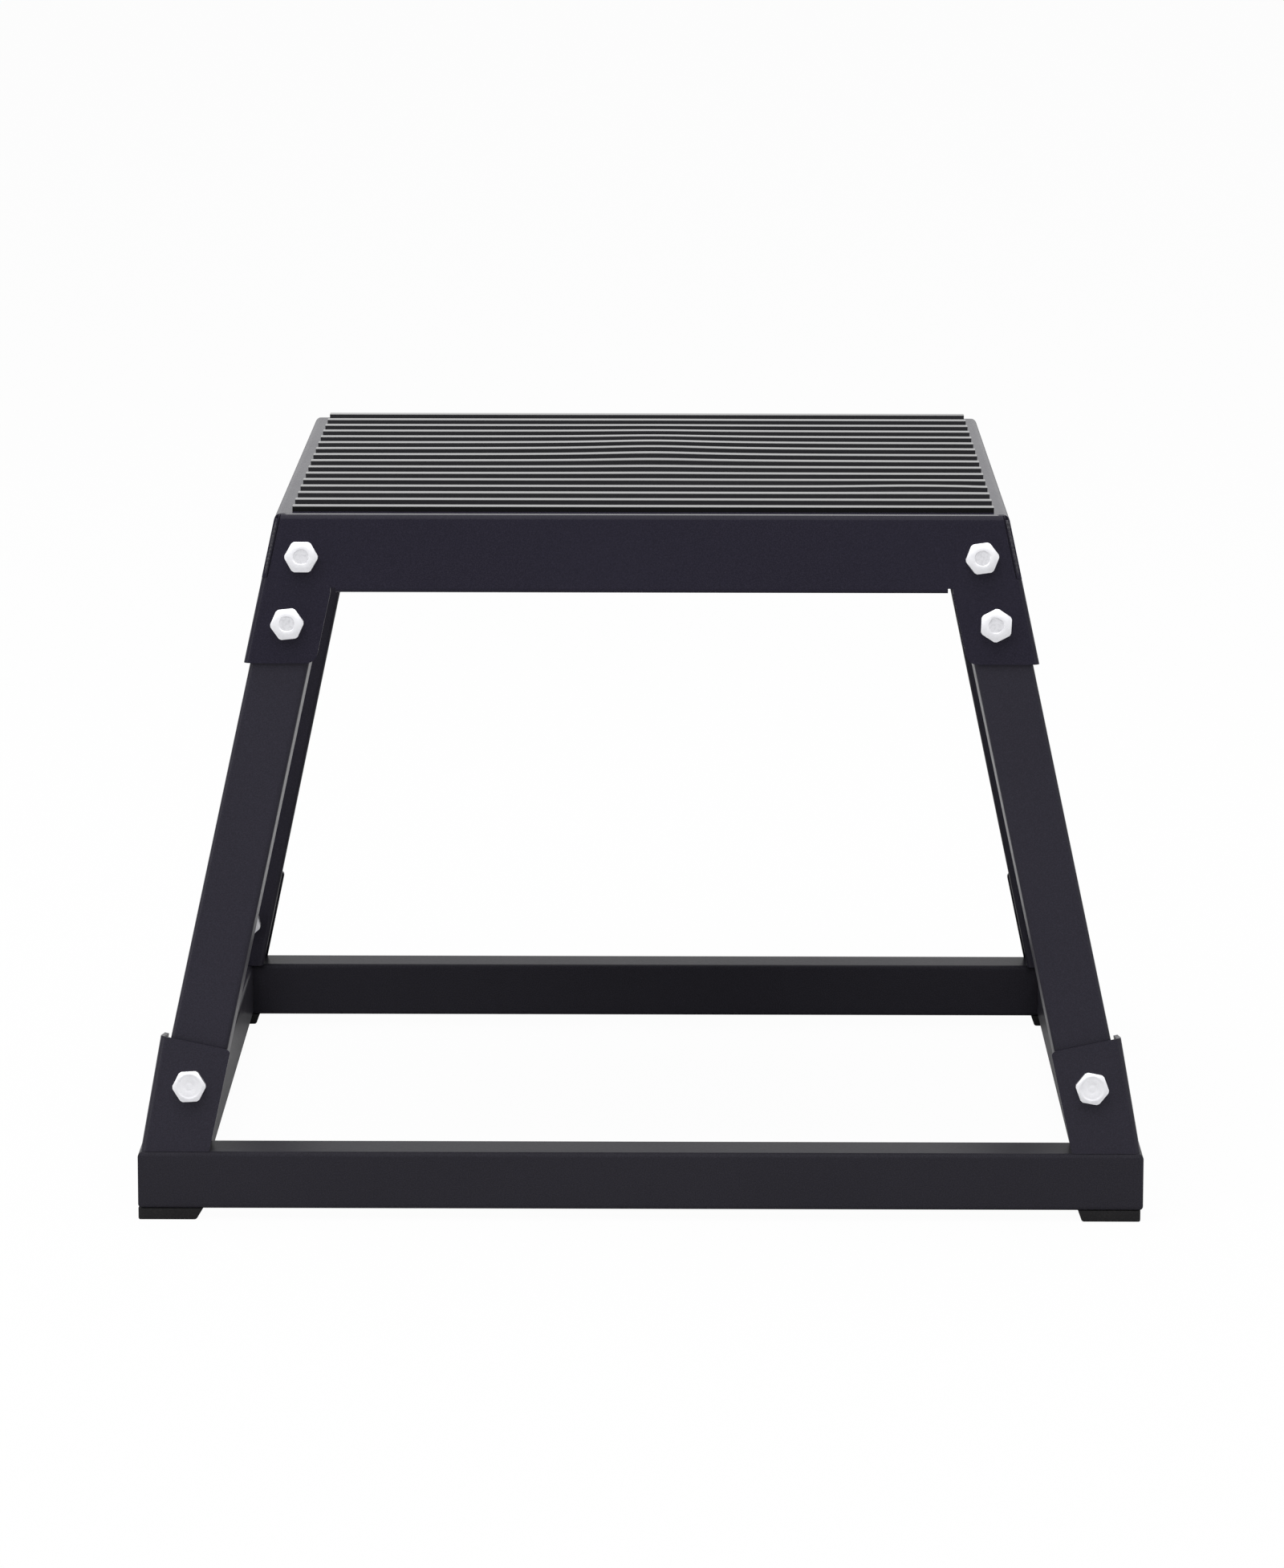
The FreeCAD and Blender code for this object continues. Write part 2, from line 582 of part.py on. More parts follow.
def ribbed_mat(label):
    body = new_body(label)
    outline = new_sketch(body, f"{label}_outline", "XY_Plane")
    bind(outline, AttachmentOffset__Base__z="Sizes.plate_top")
    x = "Sizes.top_width / 2 - Sizes.mat_side_inset"
    y = "Sizes.top_depth / 2 - Sizes.mat_end_inset"
    polygon(outline, ((f"-({x})", f"-({y})"), (x, f"-({y})"), (x, y), (f"-({x})", y)))
    pad(body, outline, "Sizes.mat_base")
    rib = new_sketch(body, f"{label}_rib", "YZ_Plane")
    front = f"-({y})"
    back = f"-({y}) + Sizes.rib_width"
    floor = "Sizes.plate_top + Sizes.mat_base / 2"
    crest = "Sizes.plate_top + Sizes.mat_base + Sizes.rib_height"
    shoulder = f"{crest} - Sizes.rib_chamfer"
    polygon(rib, (
        (front, floor), (back, floor), (back, shoulder),
        (f"{back} - Sizes.rib_chamfer", crest), (f"{front} + Sizes.rib_chamfer", crest), (front, shoulder),
    ))
    first = pad(body, rib, f"2 * ({x})", side="Symmetric")
    row = body.newObject("PartDesign::LinearPattern", f"{label}_ribs")
    row.Originals = [first]
    row.Direction = (plane(body, "Y_Axis"), [""])
    bind(row, Length=f"2 * ({y}) - Sizes.rib_width", Occurrences="Sizes.rib_count")
    body.Tip = row
    doc.recompute()
    return body


def hexagon(body, name, height, foot):
    reach = "Sizes.bolt_flats / sqrt(3)"
    return primitive(body, "AdditivePrism", name, foot, Circumradius=reach, Height=height)


def ring(body, kind, name, diameter, height, foot):
    return primitive(body, kind, name, foot, Radius=f"({diameter}) / 2", Height=height)


def hex_bolt(name, stack):
    """Bolt along -Z with its head on the plane z = 0."""
    body = new_body(name)
    length = f"{stack} + Sizes.nut_height + Sizes.bolt_tail"
    hexagon(body, f"{name}_head", "Sizes.bolt_head", "0")
    ring(body, "AdditiveCylinder", f"{name}_shank", "Sizes.bolt_shank",
         f"{length} + Sizes.bolt_head / 2", f"-({length})")
    return body


def hex_nut(name, stack):
    """Nut drawn up against the inner side of the leg."""
    body = new_body(name)
    foot = f"-({stack} + Sizes.nut_height)"
    hexagon(body, f"{name}_hexagon", "Sizes.nut_height", foot)
    ring(body, "SubtractiveCylinder", f"{name}_bore", "Sizes.bolt_shank + Sizes.nut_clearance",
         "Sizes.nut_height", foot)
    return body


def bolt_seats(sheet_alias, drops, first_turn):
    """Places of the bolt heads on all four corners, each on the outside of its plate."""
    seats = []
    for side, end in CORNERS:
        flip_x = 1 if side == "left" else -1
        flip_y = 1 if end == "front" else -1
        out = CORNER.Rotation.multVec(FreeCAD.Vector(0, 1, 0))
        axis = FreeCAD.Vector(out.x * flip_x, out.y * flip_y, out.z)
        for step, drop in enumerate(drops):
            seat = CORNER.multVec(FreeCAD.Vector(0, derived.half_tube + size(sheet_alias), -drop))
            place = FreeCAD.Vector(seat.x * flip_x, seat.y * flip_y, seat.z)
            turn = FreeCAD.Rotation(FreeCAD.Vector(0, 0, 1), HEAD_TURNS[side, end][first_turn + step])
            facing = FreeCAD.Rotation(FreeCAD.Vector(0, 0, 1), axis).multiply(turn)
            seats.append(FreeCAD.Placement(place, facing))
    return seats


def fastener_group(label, master, seats):
    """One node holding a copy of the fastener at every seat."""
    copies = []
    for index, seat in enumerate(seats, start=1):
        copy = doc.addObject("App::Link", f"{label}_{index}")
        copy.LinkedObject = master
        copy.Placement = seat
        copies.append(copy)
    group = doc.addObject("Part::Compound", label)
    group.Links = copies
    return group


def fasteners(kind, sheet_alias, drops, first_turn):
    stack = f"Sizes.{sheet_alias} + Sizes.tube_size"
    seats = bolt_seats(sheet_alias, drops, first_turn)
    groups = []
    for name, make in (("bolts", hex_bolt), ("nuts", hex_nut)):
        master = make(f"{kind}_{name}_one", stack)
        groups.append(fastener_group(f"{kind}_{name}", master, seats))
    return groups


def frame_rails():
    height = derived.rail_top - derived.half_tube
    front_y = size("base_depth") / 2 - derived.half_tube
    left_x = size("base_width") / 2 - derived.half_tube
    straight = FreeCAD.Rotation()
    turned = FreeCAD.Rotation(FreeCAD.Vector(0, 0, 1), -90)
    front_place = FreeCAD.Placement(FreeCAD.Vector(0, -front_y, height), straight)
    left_place = FreeCAD.Placement(FreeCAD.Vector(-left_x, 0, height), turned)
    front = base_rail("front_base_rail", "Sizes.base_width", front_place)
    left = base_rail("left_base_rail", "Sizes.base_depth", left_place)
    rear = mirrored("rear_base_rail", front, MIRROR_Y)
    right = mirrored("right_base_rail", left, MIRROR_X)
    return [front, rear, left, right]


def height_slab():
    """Block that trims legs and sockets level with the frame and short of the plate."""
    slab = doc.addObject("Part::Box", "height_slab")
    bind(
        slab,
        Length="Sizes.base_width",
        Width="Sizes.base_depth",
        Height="Derived.rise - Sizes.tray_sheet - Sizes.head_gap",
        Placement__Base__x="-Sizes.base_width / 2",
        Placement__Base__y="-Sizes.base_depth / 2",
        Placement__Base__z="Derived.rail_top",
    )
    return slab


slab = height_slab()
pieces = frame_rails()
pieces += four_corners("socket", trimmed("front_left_socket", socket_stock("socket_stock"), slab))
pieces += four_corners("leg", trimmed("front_left_leg", leg_stock("leg_stock"), slab))
pieces += [platform_tray("platform_tray"), ribbed_mat("ribbed_mat")]
pieces += four_corners("foot", foot("front_left_foot"))
ear_drops = (size("ear_bolt_drop"), size("ear_bolt_drop") + size("ear_bolt_pitch"))
pieces += fasteners("platform", "tray_sheet", ear_drops, 0)
pieces += fasteners("socket", "socket_sheet", (derived.socket_bolt_drop,), 2)
doc.recompute()

for item in doc.Objects:
    if "Invalid" in item.State or "Error" in item.State:
        raise RuntimeError(f"{item.Label} did not build: {item.State}")
for piece in pieces:
    if piece.Shape.isNull() or not piece.Shape.isValid():
        raise RuntimeError(f"{piece.Label} has no valid shape")

os.makedirs("parts", exist_ok=True)
for piece in pieces:
    piece.Shape.exportStep(f"parts/{piece.Label}.step")
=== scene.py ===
"""Looks of a bolted steel plyo box: finishes, fasteners, ribbed mat, pads, weld beads and a studio."""

import math

import bmesh
import bpy
import numpy as np
from bpy.props import FloatProperty, FloatVectorProperty, IntProperty, PointerProperty
from mathutils import Matrix, Vector, noise


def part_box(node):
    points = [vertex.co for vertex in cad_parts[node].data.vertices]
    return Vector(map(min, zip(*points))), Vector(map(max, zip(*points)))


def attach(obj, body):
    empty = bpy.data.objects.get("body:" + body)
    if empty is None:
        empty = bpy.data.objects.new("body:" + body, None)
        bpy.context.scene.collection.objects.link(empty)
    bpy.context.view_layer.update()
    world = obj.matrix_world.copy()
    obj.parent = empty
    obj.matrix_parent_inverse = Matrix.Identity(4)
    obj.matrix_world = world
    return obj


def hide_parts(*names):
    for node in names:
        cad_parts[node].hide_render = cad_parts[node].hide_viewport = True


bl_info = {
    "name": "Plyo Box Looks",
    "version": (1, 0, 0),
    "blender": (4, 5, 0),
    "location": "View3D > Sidebar > Plyo Box",
    "description": "Dresses the solids of a bolted steel plyo box and sets up its studio",
    "category": "Object",
}

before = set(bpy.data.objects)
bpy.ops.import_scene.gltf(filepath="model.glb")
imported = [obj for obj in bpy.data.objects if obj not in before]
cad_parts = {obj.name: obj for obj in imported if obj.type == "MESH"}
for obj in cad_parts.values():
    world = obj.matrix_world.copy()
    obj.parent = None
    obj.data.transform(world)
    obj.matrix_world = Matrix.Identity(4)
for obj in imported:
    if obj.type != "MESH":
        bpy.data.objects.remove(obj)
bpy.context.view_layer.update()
BODY = "root"
MM = 0.001
PLATE_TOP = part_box("platform_tray")[1].z
MAT_LOW, MAT_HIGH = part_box("ribbed_mat")
SIDES = ("left", "right")
ENDS = ("front", "rear")
CORNERS = [f"{end}_{side}" for end in ENDS for side in SIDES]
STEEL = {
    "frame": [f"{place}_base_rail" for place in ENDS + SIDES],
    "leg": [f"{corner}_{kind}" for kind in ("leg", "socket") for corner in CORNERS],
    "tray": ["platform_tray"],
}
MAT_ZONES = ("rib", "valley", "edge")

# Shader nodes: sockets of a Mix node for colours, mean and detail of noise, reach of a bump in metres
MIX_SHARE, MIX_FIRST, MIX_SECOND, MIX_RESULT = 0, 6, 7, 2
NOISE_MEAN = 0.5
SOFT, PLAIN, CRISP = 1.0, 2.0, 3.0
BUMP_REACH = 0.0003

# Powder coat: sizes of its grains in metres, contrasts, relief and spread of the roughness
PATCH_SIZE, PEEL_SIZE, POWDER_SIZE = 0.06, 0.0016, 0.0005
FLECK_SHARE, POWDER_CONTRAST, PATCH_CONTRAST = 0.4, 4.0, 0.6
POWDER_RELIEF, PEEL_RELIEF, COAT_BUMP = 0.6, 0.4, 0.09
COAT_SPREAD = 0.06

# Gloss on the tray's crests: how steeply it starts, fades below and ends at the sides, per metre
CREST_START, CREST_DELAY = 40000, 0.8
CREST_FADE, CREST_SIDE_FADE = 10000, 1000
CREST_SIDE_GAP = 4 * MM

# Plating: sizes of its stains and pits in metres, contrast, relief and spread of the roughness
ZINC_STAIN_SIZE, DISH_STAIN_SIZE, PIT_SIZE = 4 * MM, 1.2 * MM, 0.0007
STAIN_LEVEL, STAIN_CONTRAST = 0.45, 2.2
PIT_RELIEF, STAIN_RELIEF, ZINC_BUMP = 0.7, 0.3, 0.12
ZINC_SPREAD = 0.2

# Rubber of the mat: sizes of bloom and grain in metres, contrasts, relief and spread of the roughness
BLOOM_SIZE, BLOOM_STRETCH, GRAIN_SIZE = 0.03, (0.25, 1.0, 1.0), 0.0006
BLOOM_LEVEL, BLOOM_CONTRAST, GRAIN_CONTRAST = 0.45, 1.6, 1.2
RUBBER_BUMP = 0.03
BLOOM_SPREAD, GRAIN_SPREAD = 0.10, 0.04

# Rubber of the pads: sizes of crumbs and patches in metres, contrasts, relief and spread of the roughness
CRUMB_SIZE, PAD_PATCH_SIZE = 0.0011, 0.009
CRUMB_CONTRAST, PAD_PATCH_CONTRAST = 2.4, 0.8
CRUMB_BUMP, CRUMB_REACH = 0.45, 0.0006
PAD_SPREAD = 0.2

# Fasteners: steps around and to a turn of thread, then shares of the radius and depth of their parts
TURN_STEPS, THREAD_STEPS = 72, 4
SIXTH_TURN = math.pi / 3
TIP_SHARE, TIP_RISE, SEAT_SHARE, SINK_SHARE = 0.92, 0.4, 0.97, 0.6
DISH_RINGS = ((1.06, 0.0), (1.02, 0.05), (0.96, 0.95), (0.92, 1.0), (0.45, 1.0))
DISH_UNEVEN, DISH_SEED = 0.18, 2.5
TURNED_RINGS = ((0.86, 0.0), (0.80, 1.0), (0.70, 0.1), (0.62, 0.9), (0.46, 0.0), (0.38, 1.0), (0.22, 0.3))

# Reading the solids: points nearer than this are one, share of the reach that makes a head, digits to sort by
SAME_POINT, HEAD_SHARE, SORT_DIGITS = 1e-6, 0.9, 4

# Mat: columns across it, steps round the edge of a rib, then where it lifts and which faces are trodden
MAT_COLUMNS, EDGE_STEPS = 96, 3
ROOT_SHARE, RIB_CROWN = 0.3, 0.04 * MM
HUMP_X, HUMP_Y, HUMP_WIDTH, HUMP_DEPTH = 4 * MM, 30 * MM, 32 * MM, 48 * MM
RIPPLE_X, RIPPLE_Y, RIPPLE_WIDTH, RIPPLE_PITCHES = 120 * MM, -97 * MM, 20 * MM, 0.55
FLAT_END = 10 * MM
TREAD_BASES, TREAD_SLOPE = 2, 0.3

# Weld beads: steps along and around, run and taper by the seam's length, parts of the radius, place and lump
BEAD_STEPS, BEAD_SIDES = 60, 12
BEAD_START, BEAD_RUN, BEAD_TAPER, BEAD_TIP = 0.02, 0.94, 6, 0.2
BEAD_EVEN, BEAD_RIPPLE, BEAD_ROUGH = 0.66, 0.38, 0.32
BEAD_PHASE, BEAD_SEED_X, BEAD_SEED_Y = 2, 7, 3
BEAD_SPREAD, BEAD_INSET, BEAD_SINK = 1.5, 0.55, 0.25
LUMP_NOTCHES, LUMP_RUN = 2, 2 * MM

# Pads: segments and profile of their rounded edges
PAD_SEGMENTS, PAD_PROFILE = 3, 0.5

# Edges below these angles in degrees are shaded smooth
SMOOTH_BOLT, SMOOTH_WELD, SMOOTH_MAT, SMOOTH_PAD = 35.0, 80.0, 12.0, 50.0

# Studio: rays that see the white room, half the floor's side, how far the camera sees, and the lamps
SEEN_BY = ("Camera", "Glossy", "Transmission")
WHITE = (1.0, 1.0, 1.0, 1.0)
FLOOR_HALF = 20.0
FLOOR_CORNERS = ((-1, -1), (1, -1), (1, 1), (-1, 1))
CAMERA_REACH = 100.0
# Each lamp has its power setting, place, target and sides
LAMPS = {
    "lamp_front": ("key", (-0.4, -1.9, 3.2), (0.0, 0.0, 0.1), (4.0, 4.0)),
    "lamp_top": ("top", (-0.2, 0.7, 2.3), (0.0, 0.0, 0.2), (2.0, 2.0)),
    "lamp_left": ("left", (-3.0, -1.6, 0.9), (0.0, 0.0, 0.15), (1.2, 1.8)),
    "lamp_right": ("right", (3.0, -1.6, 0.9), (0.0, 0.0, 0.15), (1.2, 1.8)),
}


def length(name, description, millimetres):
    size = millimetres * MM
    return FloatProperty(name=name, description=description, default=size, unit="LENGTH", precision=5)


def factor(name, description, default):
    return FloatProperty(name=name, description=description, default=default, min=0.0, subtype="FACTOR")


def color(name, description, default):
    return FloatVectorProperty(name=name, description=description, default=default, subtype="COLOR", min=0.0)


def angle(name, description, degrees):
    turn = math.radians(degrees)
    return FloatProperty(name=name, description=description, default=turn, subtype="ANGLE")


def power(name, description, watts):
    return FloatProperty(name=name, description=description, default=watts, unit="POWER")


class PlyoBoxFinish(bpy.types.PropertyGroup):
    """Colours and gloss of the coat, the plating and the rubbers; some colours of the coat and the mat hold
    painted light and shade.
    """

    # The tray, legs and frame share one black powder coat; the tray's coat colour is darker as painted shade
    tray_coat: color("Tray coat", "Black coat of the tray, with a violet cast", (0.0128, 0.0113, 0.0206))
    tray_fleck: color("Tray fleck", "Lighter grains in the coat of the tray", (0.0196, 0.0175, 0.0298))
    # The legs' coat colour is lighter as painted light from the floor
    leg_coat: color("Leg coat", "Black coat of legs and sockets", (0.0185, 0.0170, 0.0255))
    leg_fleck: color("Leg fleck", "Lighter grains in the coat of the legs", (0.0252, 0.0233, 0.0344))
    # The frame's coat colour is lighter and greyer as painted light from the floor
    frame_coat: color("Frame coat", "Greyer coat of the floor frame", (0.0240, 0.0229, 0.0290))
    frame_fleck: color("Frame fleck", "Lighter grains in the coat of the frame", (0.0318, 0.0303, 0.0385))
    # The weld coat is darker than the rest of the coat as painted shade of the seam
    weld_coat: color("Weld coat", "Thin coat over the weld beads", (0.0140, 0.0126, 0.0190))
    # Its flecks are brighter than elsewhere as painted glints on the bead
    weld_fleck: color("Weld fleck", "Lighter grains in the coat of the beads", (0.0420, 0.0395, 0.0490))
    weld_roughness: factor("Weld roughness", "Mean roughness of the coat over the weld beads", 0.28)
    weld_specular: factor("Weld specular", "Specular level of the coat over the weld beads", 0.35)
    tray_roughness: factor("Tray roughness", "Mean roughness of the coat on the tray", 0.26)
    leg_roughness: factor("Leg roughness", "Mean roughness of the coat on legs and sockets", 0.32)
    frame_roughness: factor("Frame roughness", "Mean roughness of the coat on the floor frame", 0.32)
    tray_specular: factor("Tray specular", "Specular level of the coat on the tray", 0.10)
    leg_specular: factor("Leg specular", "Specular level of the coat on legs and sockets", 0.13)
    frame_specular: factor("Frame specular", "Specular level of the coat on the floor frame", 0.02)
    crest: length("Crest", "How far the gloss reaches down the tray's front and rear bends", 0.45)
    crest_gloss: factor("Crest gloss", "Weight of the clear gloss on the crest of those bends", 0.85)
    crest_roughness: factor("Crest roughness", "Roughness of that gloss", 0.08)
    zinc: color("Zinc", "Bright zinc plating", (0.72, 0.72, 0.745))
    zinc_stain: color("Zinc stain", "Duller patches in the plating", (0.60, 0.60, 0.625))
    dish: color("Dish", "Duller plating in the dishes of the platform bolts", (0.62, 0.62, 0.645))
    dish_stain: color("Dish stain", "Darker patches in the dishes", (0.42, 0.42, 0.44))
    zinc_roughness: factor("Zinc roughness", "Mean roughness of the plating", 0.42)
    rib_rubber: color("Rib rubber", "Trodden tops of the mat's ribs", (0.0095, 0.0093, 0.0112))
    rib_bloom: color("Rib bloom", "Pale bloom on the tops of the ribs", (0.0200, 0.0197, 0.0228))
    rib_roughness: factor("Rib roughness", "Mean roughness of the tops of the ribs", 0.12)
    rib_specular: factor("Rib specular", "Specular level of the tops of the ribs", 0.95)
    # The valleys and rib sides are the ribs' rubber made lighter as painted light, with a real pale bloom
    valley_rubber: color("Valley rubber", "Mat between and beside its ribs", (0.0195, 0.0190, 0.0222))
    valley_bloom: color("Valley bloom", "Pale bloom between the ribs", (0.0335, 0.0328, 0.0372))
    valley_roughness: factor("Valley roughness", "Mean roughness of the mat between its ribs", 0.6)
    valley_specular: factor("Valley specular", "Specular level of the mat between its ribs", 0.2)
    # Darker, duller rubber on the mat's front, rear and end faces
    edge_rubber: color("Edge rubber", "Cut edges of the mat", (0.0045, 0.0044, 0.0050))
    edge_bloom: color("Edge bloom", "Pale bloom on the cut edges", (0.0095, 0.0093, 0.0105))
    edge_roughness: factor("Edge roughness", "Mean roughness of the cut edges", 0.7)
    edge_specular: factor("Edge specular", "Specular level of the cut edges", 0.1)
    pad: color("Pad", "Rubber of the floor pads", (0.009, 0.0085, 0.0095))
    pad_fleck: color("Pad fleck", "Crumbs in the rubber of the floor pads", (0.022, 0.021, 0.022))
    pad_roughness: factor("Pad roughness", "Mean roughness of the floor pads", 0.72)
    pad_specular: factor("Pad specular", "Specular level of the floor pads", 0.2)


class PlyoBoxFasteners(bpy.types.PropertyGroup):
    """Sizes of the hex bolts and nuts."""

    flats: length("Across flats", "Width of bolt heads and nuts between flats", 13.0)
    corner_cut: length("Corner cut", "How far the hexagon's corners are blunted", 0.35)
    chamfer_circle: length("Chamfer circle", "Diameter at which the chamfer of a head starts", 11.3)
    chamfer_angle: angle("Chamfer angle", "Fall of the chamfer towards the corners", 20.0)
    washer_face: length("Washer face", "Height of the round seat below a bolt head", 0.3)
    dish_width: length("Dish width", "Diameter of the dish in a platform bolt's head", 6.6)
    dish_depth: length("Dish depth", "Depth of the dish in a platform bolt's head", 0.18)
    ring_depth: length("Ring depth", "Depth of the turned rings in a socket bolt's head", 0.12)
    shank: length("Shank", "Diameter of the bolt shank", 8.0)
    thread_pitch: length("Thread pitch", "Distance between turns of the thread", 1.25)
    thread_depth: length("Thread depth", "Depth of the thread", 0.65)
    thread_run: length("Thread run", "Length of thread cut on the bolt end", 10.0)
    bore: length("Nut bore", "Diameter of the nut's bore", 8.1)


class PlyoBoxMat(bpy.types.PropertyGroup):
    """Sizes of the ribbed mat and of the places where it lifts."""

    rib_count: IntProperty(name="Ribs", description="Number of ribs across the mat", default=16, min=2)
    rib_width: length("Rib width", "Width of a rib", 6.4)
    base: length("Base", "Thickness of the mat between its ribs", 1.0)
    edge_round: length("Edge round", "Rounding along the top edges of a rib", 0.25)
    root_round: length("Root round", "Rounding where a rib meets the base", 0.2)
    draft: length("Draft", "How far a rib narrows towards its top", 0.03)
    left_trim: length("Left trim", "How far the left end stands further in than the right end", 1.0)
    thin: length("Thin", "How much thinner the mat is at its front than behind", 0.75)
    hump: length("Hump", "Height of the hump in the middle of the mat", 1.2)
    ripple: length("Ripple", "Height of the ripple in one rib near its right end", 0.5)


class PlyoBoxPads(bpy.types.PropertyGroup):
    """Sizes of the rubber pads under the frame."""

    bevel: length("Bevel", "Run of the bevel at the inner end of a pad", 1.8)
    front_left_bevel: length("Front left bevel", "Run of the longer bevel at the front left", 3.0)
    front_left_reach: length("Front left reach", "How much further out the front left pad ends", 1.0)
    edge: length("Edge", "Rounding of the edges of a pad", 0.8)


class PlyoBoxSteel(bpy.types.PropertyGroup):
    """Sizes of the folded tray that place the gloss and the weld beads, and of the beads."""

    top_width: length("Top width", "Width of the platform between its side bends", 316.0)
    top_depth: length("Top depth", "Depth of the platform between its end bends", 347.0)
    sheet: length("Sheet", "Sheet thickness of the tray", 2.0)
    seam_drop: length("Seam drop", "Length of the open seam down each corner", 27.0)
    notch: length("Notch", "Size of the notch at the top of a seam", 1.5)
    bead: length("Bead", "Radius of the weld bead on a corner seam", 0.42)
    lump: length("Lump", "Growth of the beads on the right at their top", 0.35)
    bead_step: length("Bead step", "Distance between the ripples of a bead", 1.9)


class PlyoBoxStudio(bpy.types.PropertyGroup):
    """Camera and light."""

    eye: FloatVectorProperty(
        name="Eye",
        description="Place of the camera",
        default=(0.0163, -3.1345, 0.7032),
        subtype="TRANSLATION",
    )
    pitch: angle("Pitch", "How far the camera looks down", 9.942)
    yaw: angle("Yaw", "How far the camera is turned to the left", 0.311)
    roll: angle("Roll", "How far the camera is tilted on its axis", 0.076)
    lens: FloatProperty(name="Lens", description="Focal length for a 36 mm long side", default=159.15)
    ambient: factor("Ambient", "Strength of the room's light on matt surfaces", 0.22)
    key: power("Key", "Power of the lamp high in front", 112.0)
    top: power("Top", "Power of the lamp overhead", 24.0)
    left: power("Left", "Power of the lamp at the left", 16.0)
    right: power("Right", "Power of the lamp at the right", 8.0)
    floor: color("Floor", "Pale floor", (0.84, 0.84, 0.84))
    floor_white: factor("Floor white", "Share of plain white in the floor as the camera sees it", 0.97)
    floor_mirrored: factor("Floor mirrored", "Share of plain white in the floor as gloss shows it", 0.15)


class PlyoBoxSettings(bpy.types.PropertyGroup):
    """All settings of the plyo box."""

    finish: PointerProperty(type=PlyoBoxFinish)
    fasteners: PointerProperty(type=PlyoBoxFasteners)
    mat: PointerProperty(type=PlyoBoxMat)
    pads: PointerProperty(type=PlyoBoxPads)
    steel: PointerProperty(type=PlyoBoxSteel)
    studio: PointerProperty(type=PlyoBoxStudio)


def settings():
    return bpy.context.scene.plyo_box


class Signal:
    """A shader socket in an expression; arithmetic on it adds Math nodes."""

    def __init__(self, shader, socket):
        self.shader = shader
        self.socket = socket

    def __add__(self, other):
        return self.shader.math("ADD", self, other)

    def __sub__(self, other):
        return self.shader.math("SUBTRACT", self, other)

    def __rsub__(self, other):
        return self.shader.math("SUBTRACT", other, self)

    def __mul__(self, other):
        return self.shader.math("MULTIPLY", self, other)

    __radd__ = __add__
    __rmul__ = __mul__

    def swing(self, spread):
        """Noise about its mean, times the spread."""
        return (self - NOISE_MEAN) * spread


class Shader:
    """Node tree of a material or world, filled through expressions."""

    def __init__(self, owner):
        owner.use_nodes = True
        self.owner = owner
        self.tree = owner.node_tree
        self.tree.nodes.clear()

    def node(self, kind, options=None, sockets=None, output=0):
        """Add a node, set its options, then fill its sockets with values or links."""
        made = self.tree.nodes.new(kind)
        for name, value in (options or {}).items():
            setattr(made, name, value)
        for name, value in (sockets or {}).items():
            if isinstance(value, Signal):
                self.tree.links.new(value.socket, made.inputs[name])
            else:
                made.inputs[name].default_value = value
        return Signal(self, made.outputs[output]) if made.outputs else None

    def math(self, operation, *parts):
        return self.node("ShaderNodeMath", {"operation": operation}, dict(enumerate(parts)))

    def clamp(self, value):
        return self.node("ShaderNodeClamp", None, {"Value": value})

    def place(self):
        """Position in metres in the frame of the part."""
        return self.node("ShaderNodeTexCoord", None, None, "Object")

    def grain(self, size, detail=PLAIN, stretch=(1.0, 1.0, 1.0)):
        """Noise whose features are about as large as the given size."""
        at = self.node("ShaderNodeMapping", None, {"Vector": self.place(), "Scale": stretch})
        sockets = {"Vector": at, "Scale": 1.0 / size, "Detail": detail}
        return self.node("ShaderNodeTexNoise", None, sockets)

    def tint(self, share, first, second):
        """Colour between two others."""
        ends = {MIX_SHARE: share, MIX_FIRST: (*first, 1.0), MIX_SECOND: (*second, 1.0)}
        return self.node("ShaderNodeMix", {"data_type": "RGBA"}, ends, MIX_RESULT)

    def bump(self, height, strength, reach=BUMP_REACH):
        sockets = {"Height": height, "Strength": strength, "Distance": reach}
        return self.node("ShaderNodeBump", None, sockets)

    def principled(self, **sockets):
        """Principled surface on the output; socket names are written with underscores."""
        named = {name.replace("_", " "): value for name, value in sockets.items()}
        surface = self.node("ShaderNodeBsdfPrincipled", None, named)
        self.node("ShaderNodeOutputMaterial", None, {"Surface": surface})
        return self.owner


def crest_gloss(shader):
    """Sockets of the clear gloss along the crests of the tray's front and rear bends."""
    finish = settings().finish
    place = {"Vector": shader.place()}
    x, z = (shader.node("ShaderNodeSeparateXYZ", None, place, axis) for axis in "XZ")
    fall = PLATE_TOP - z
    inside = settings().steel.top_width / 2 - CREST_SIDE_GAP - shader.math("ABSOLUTE", x)
    above = shader.clamp(fall * CREST_START - CREST_DELAY)
    below = shader.clamp((finish.crest - fall) * CREST_FADE)
    crest = above * below * shader.clamp(inside * CREST_SIDE_FADE)
    return {"Coat_Weight": crest * finish.crest_gloss, "Coat_Roughness": finish.crest_roughness}


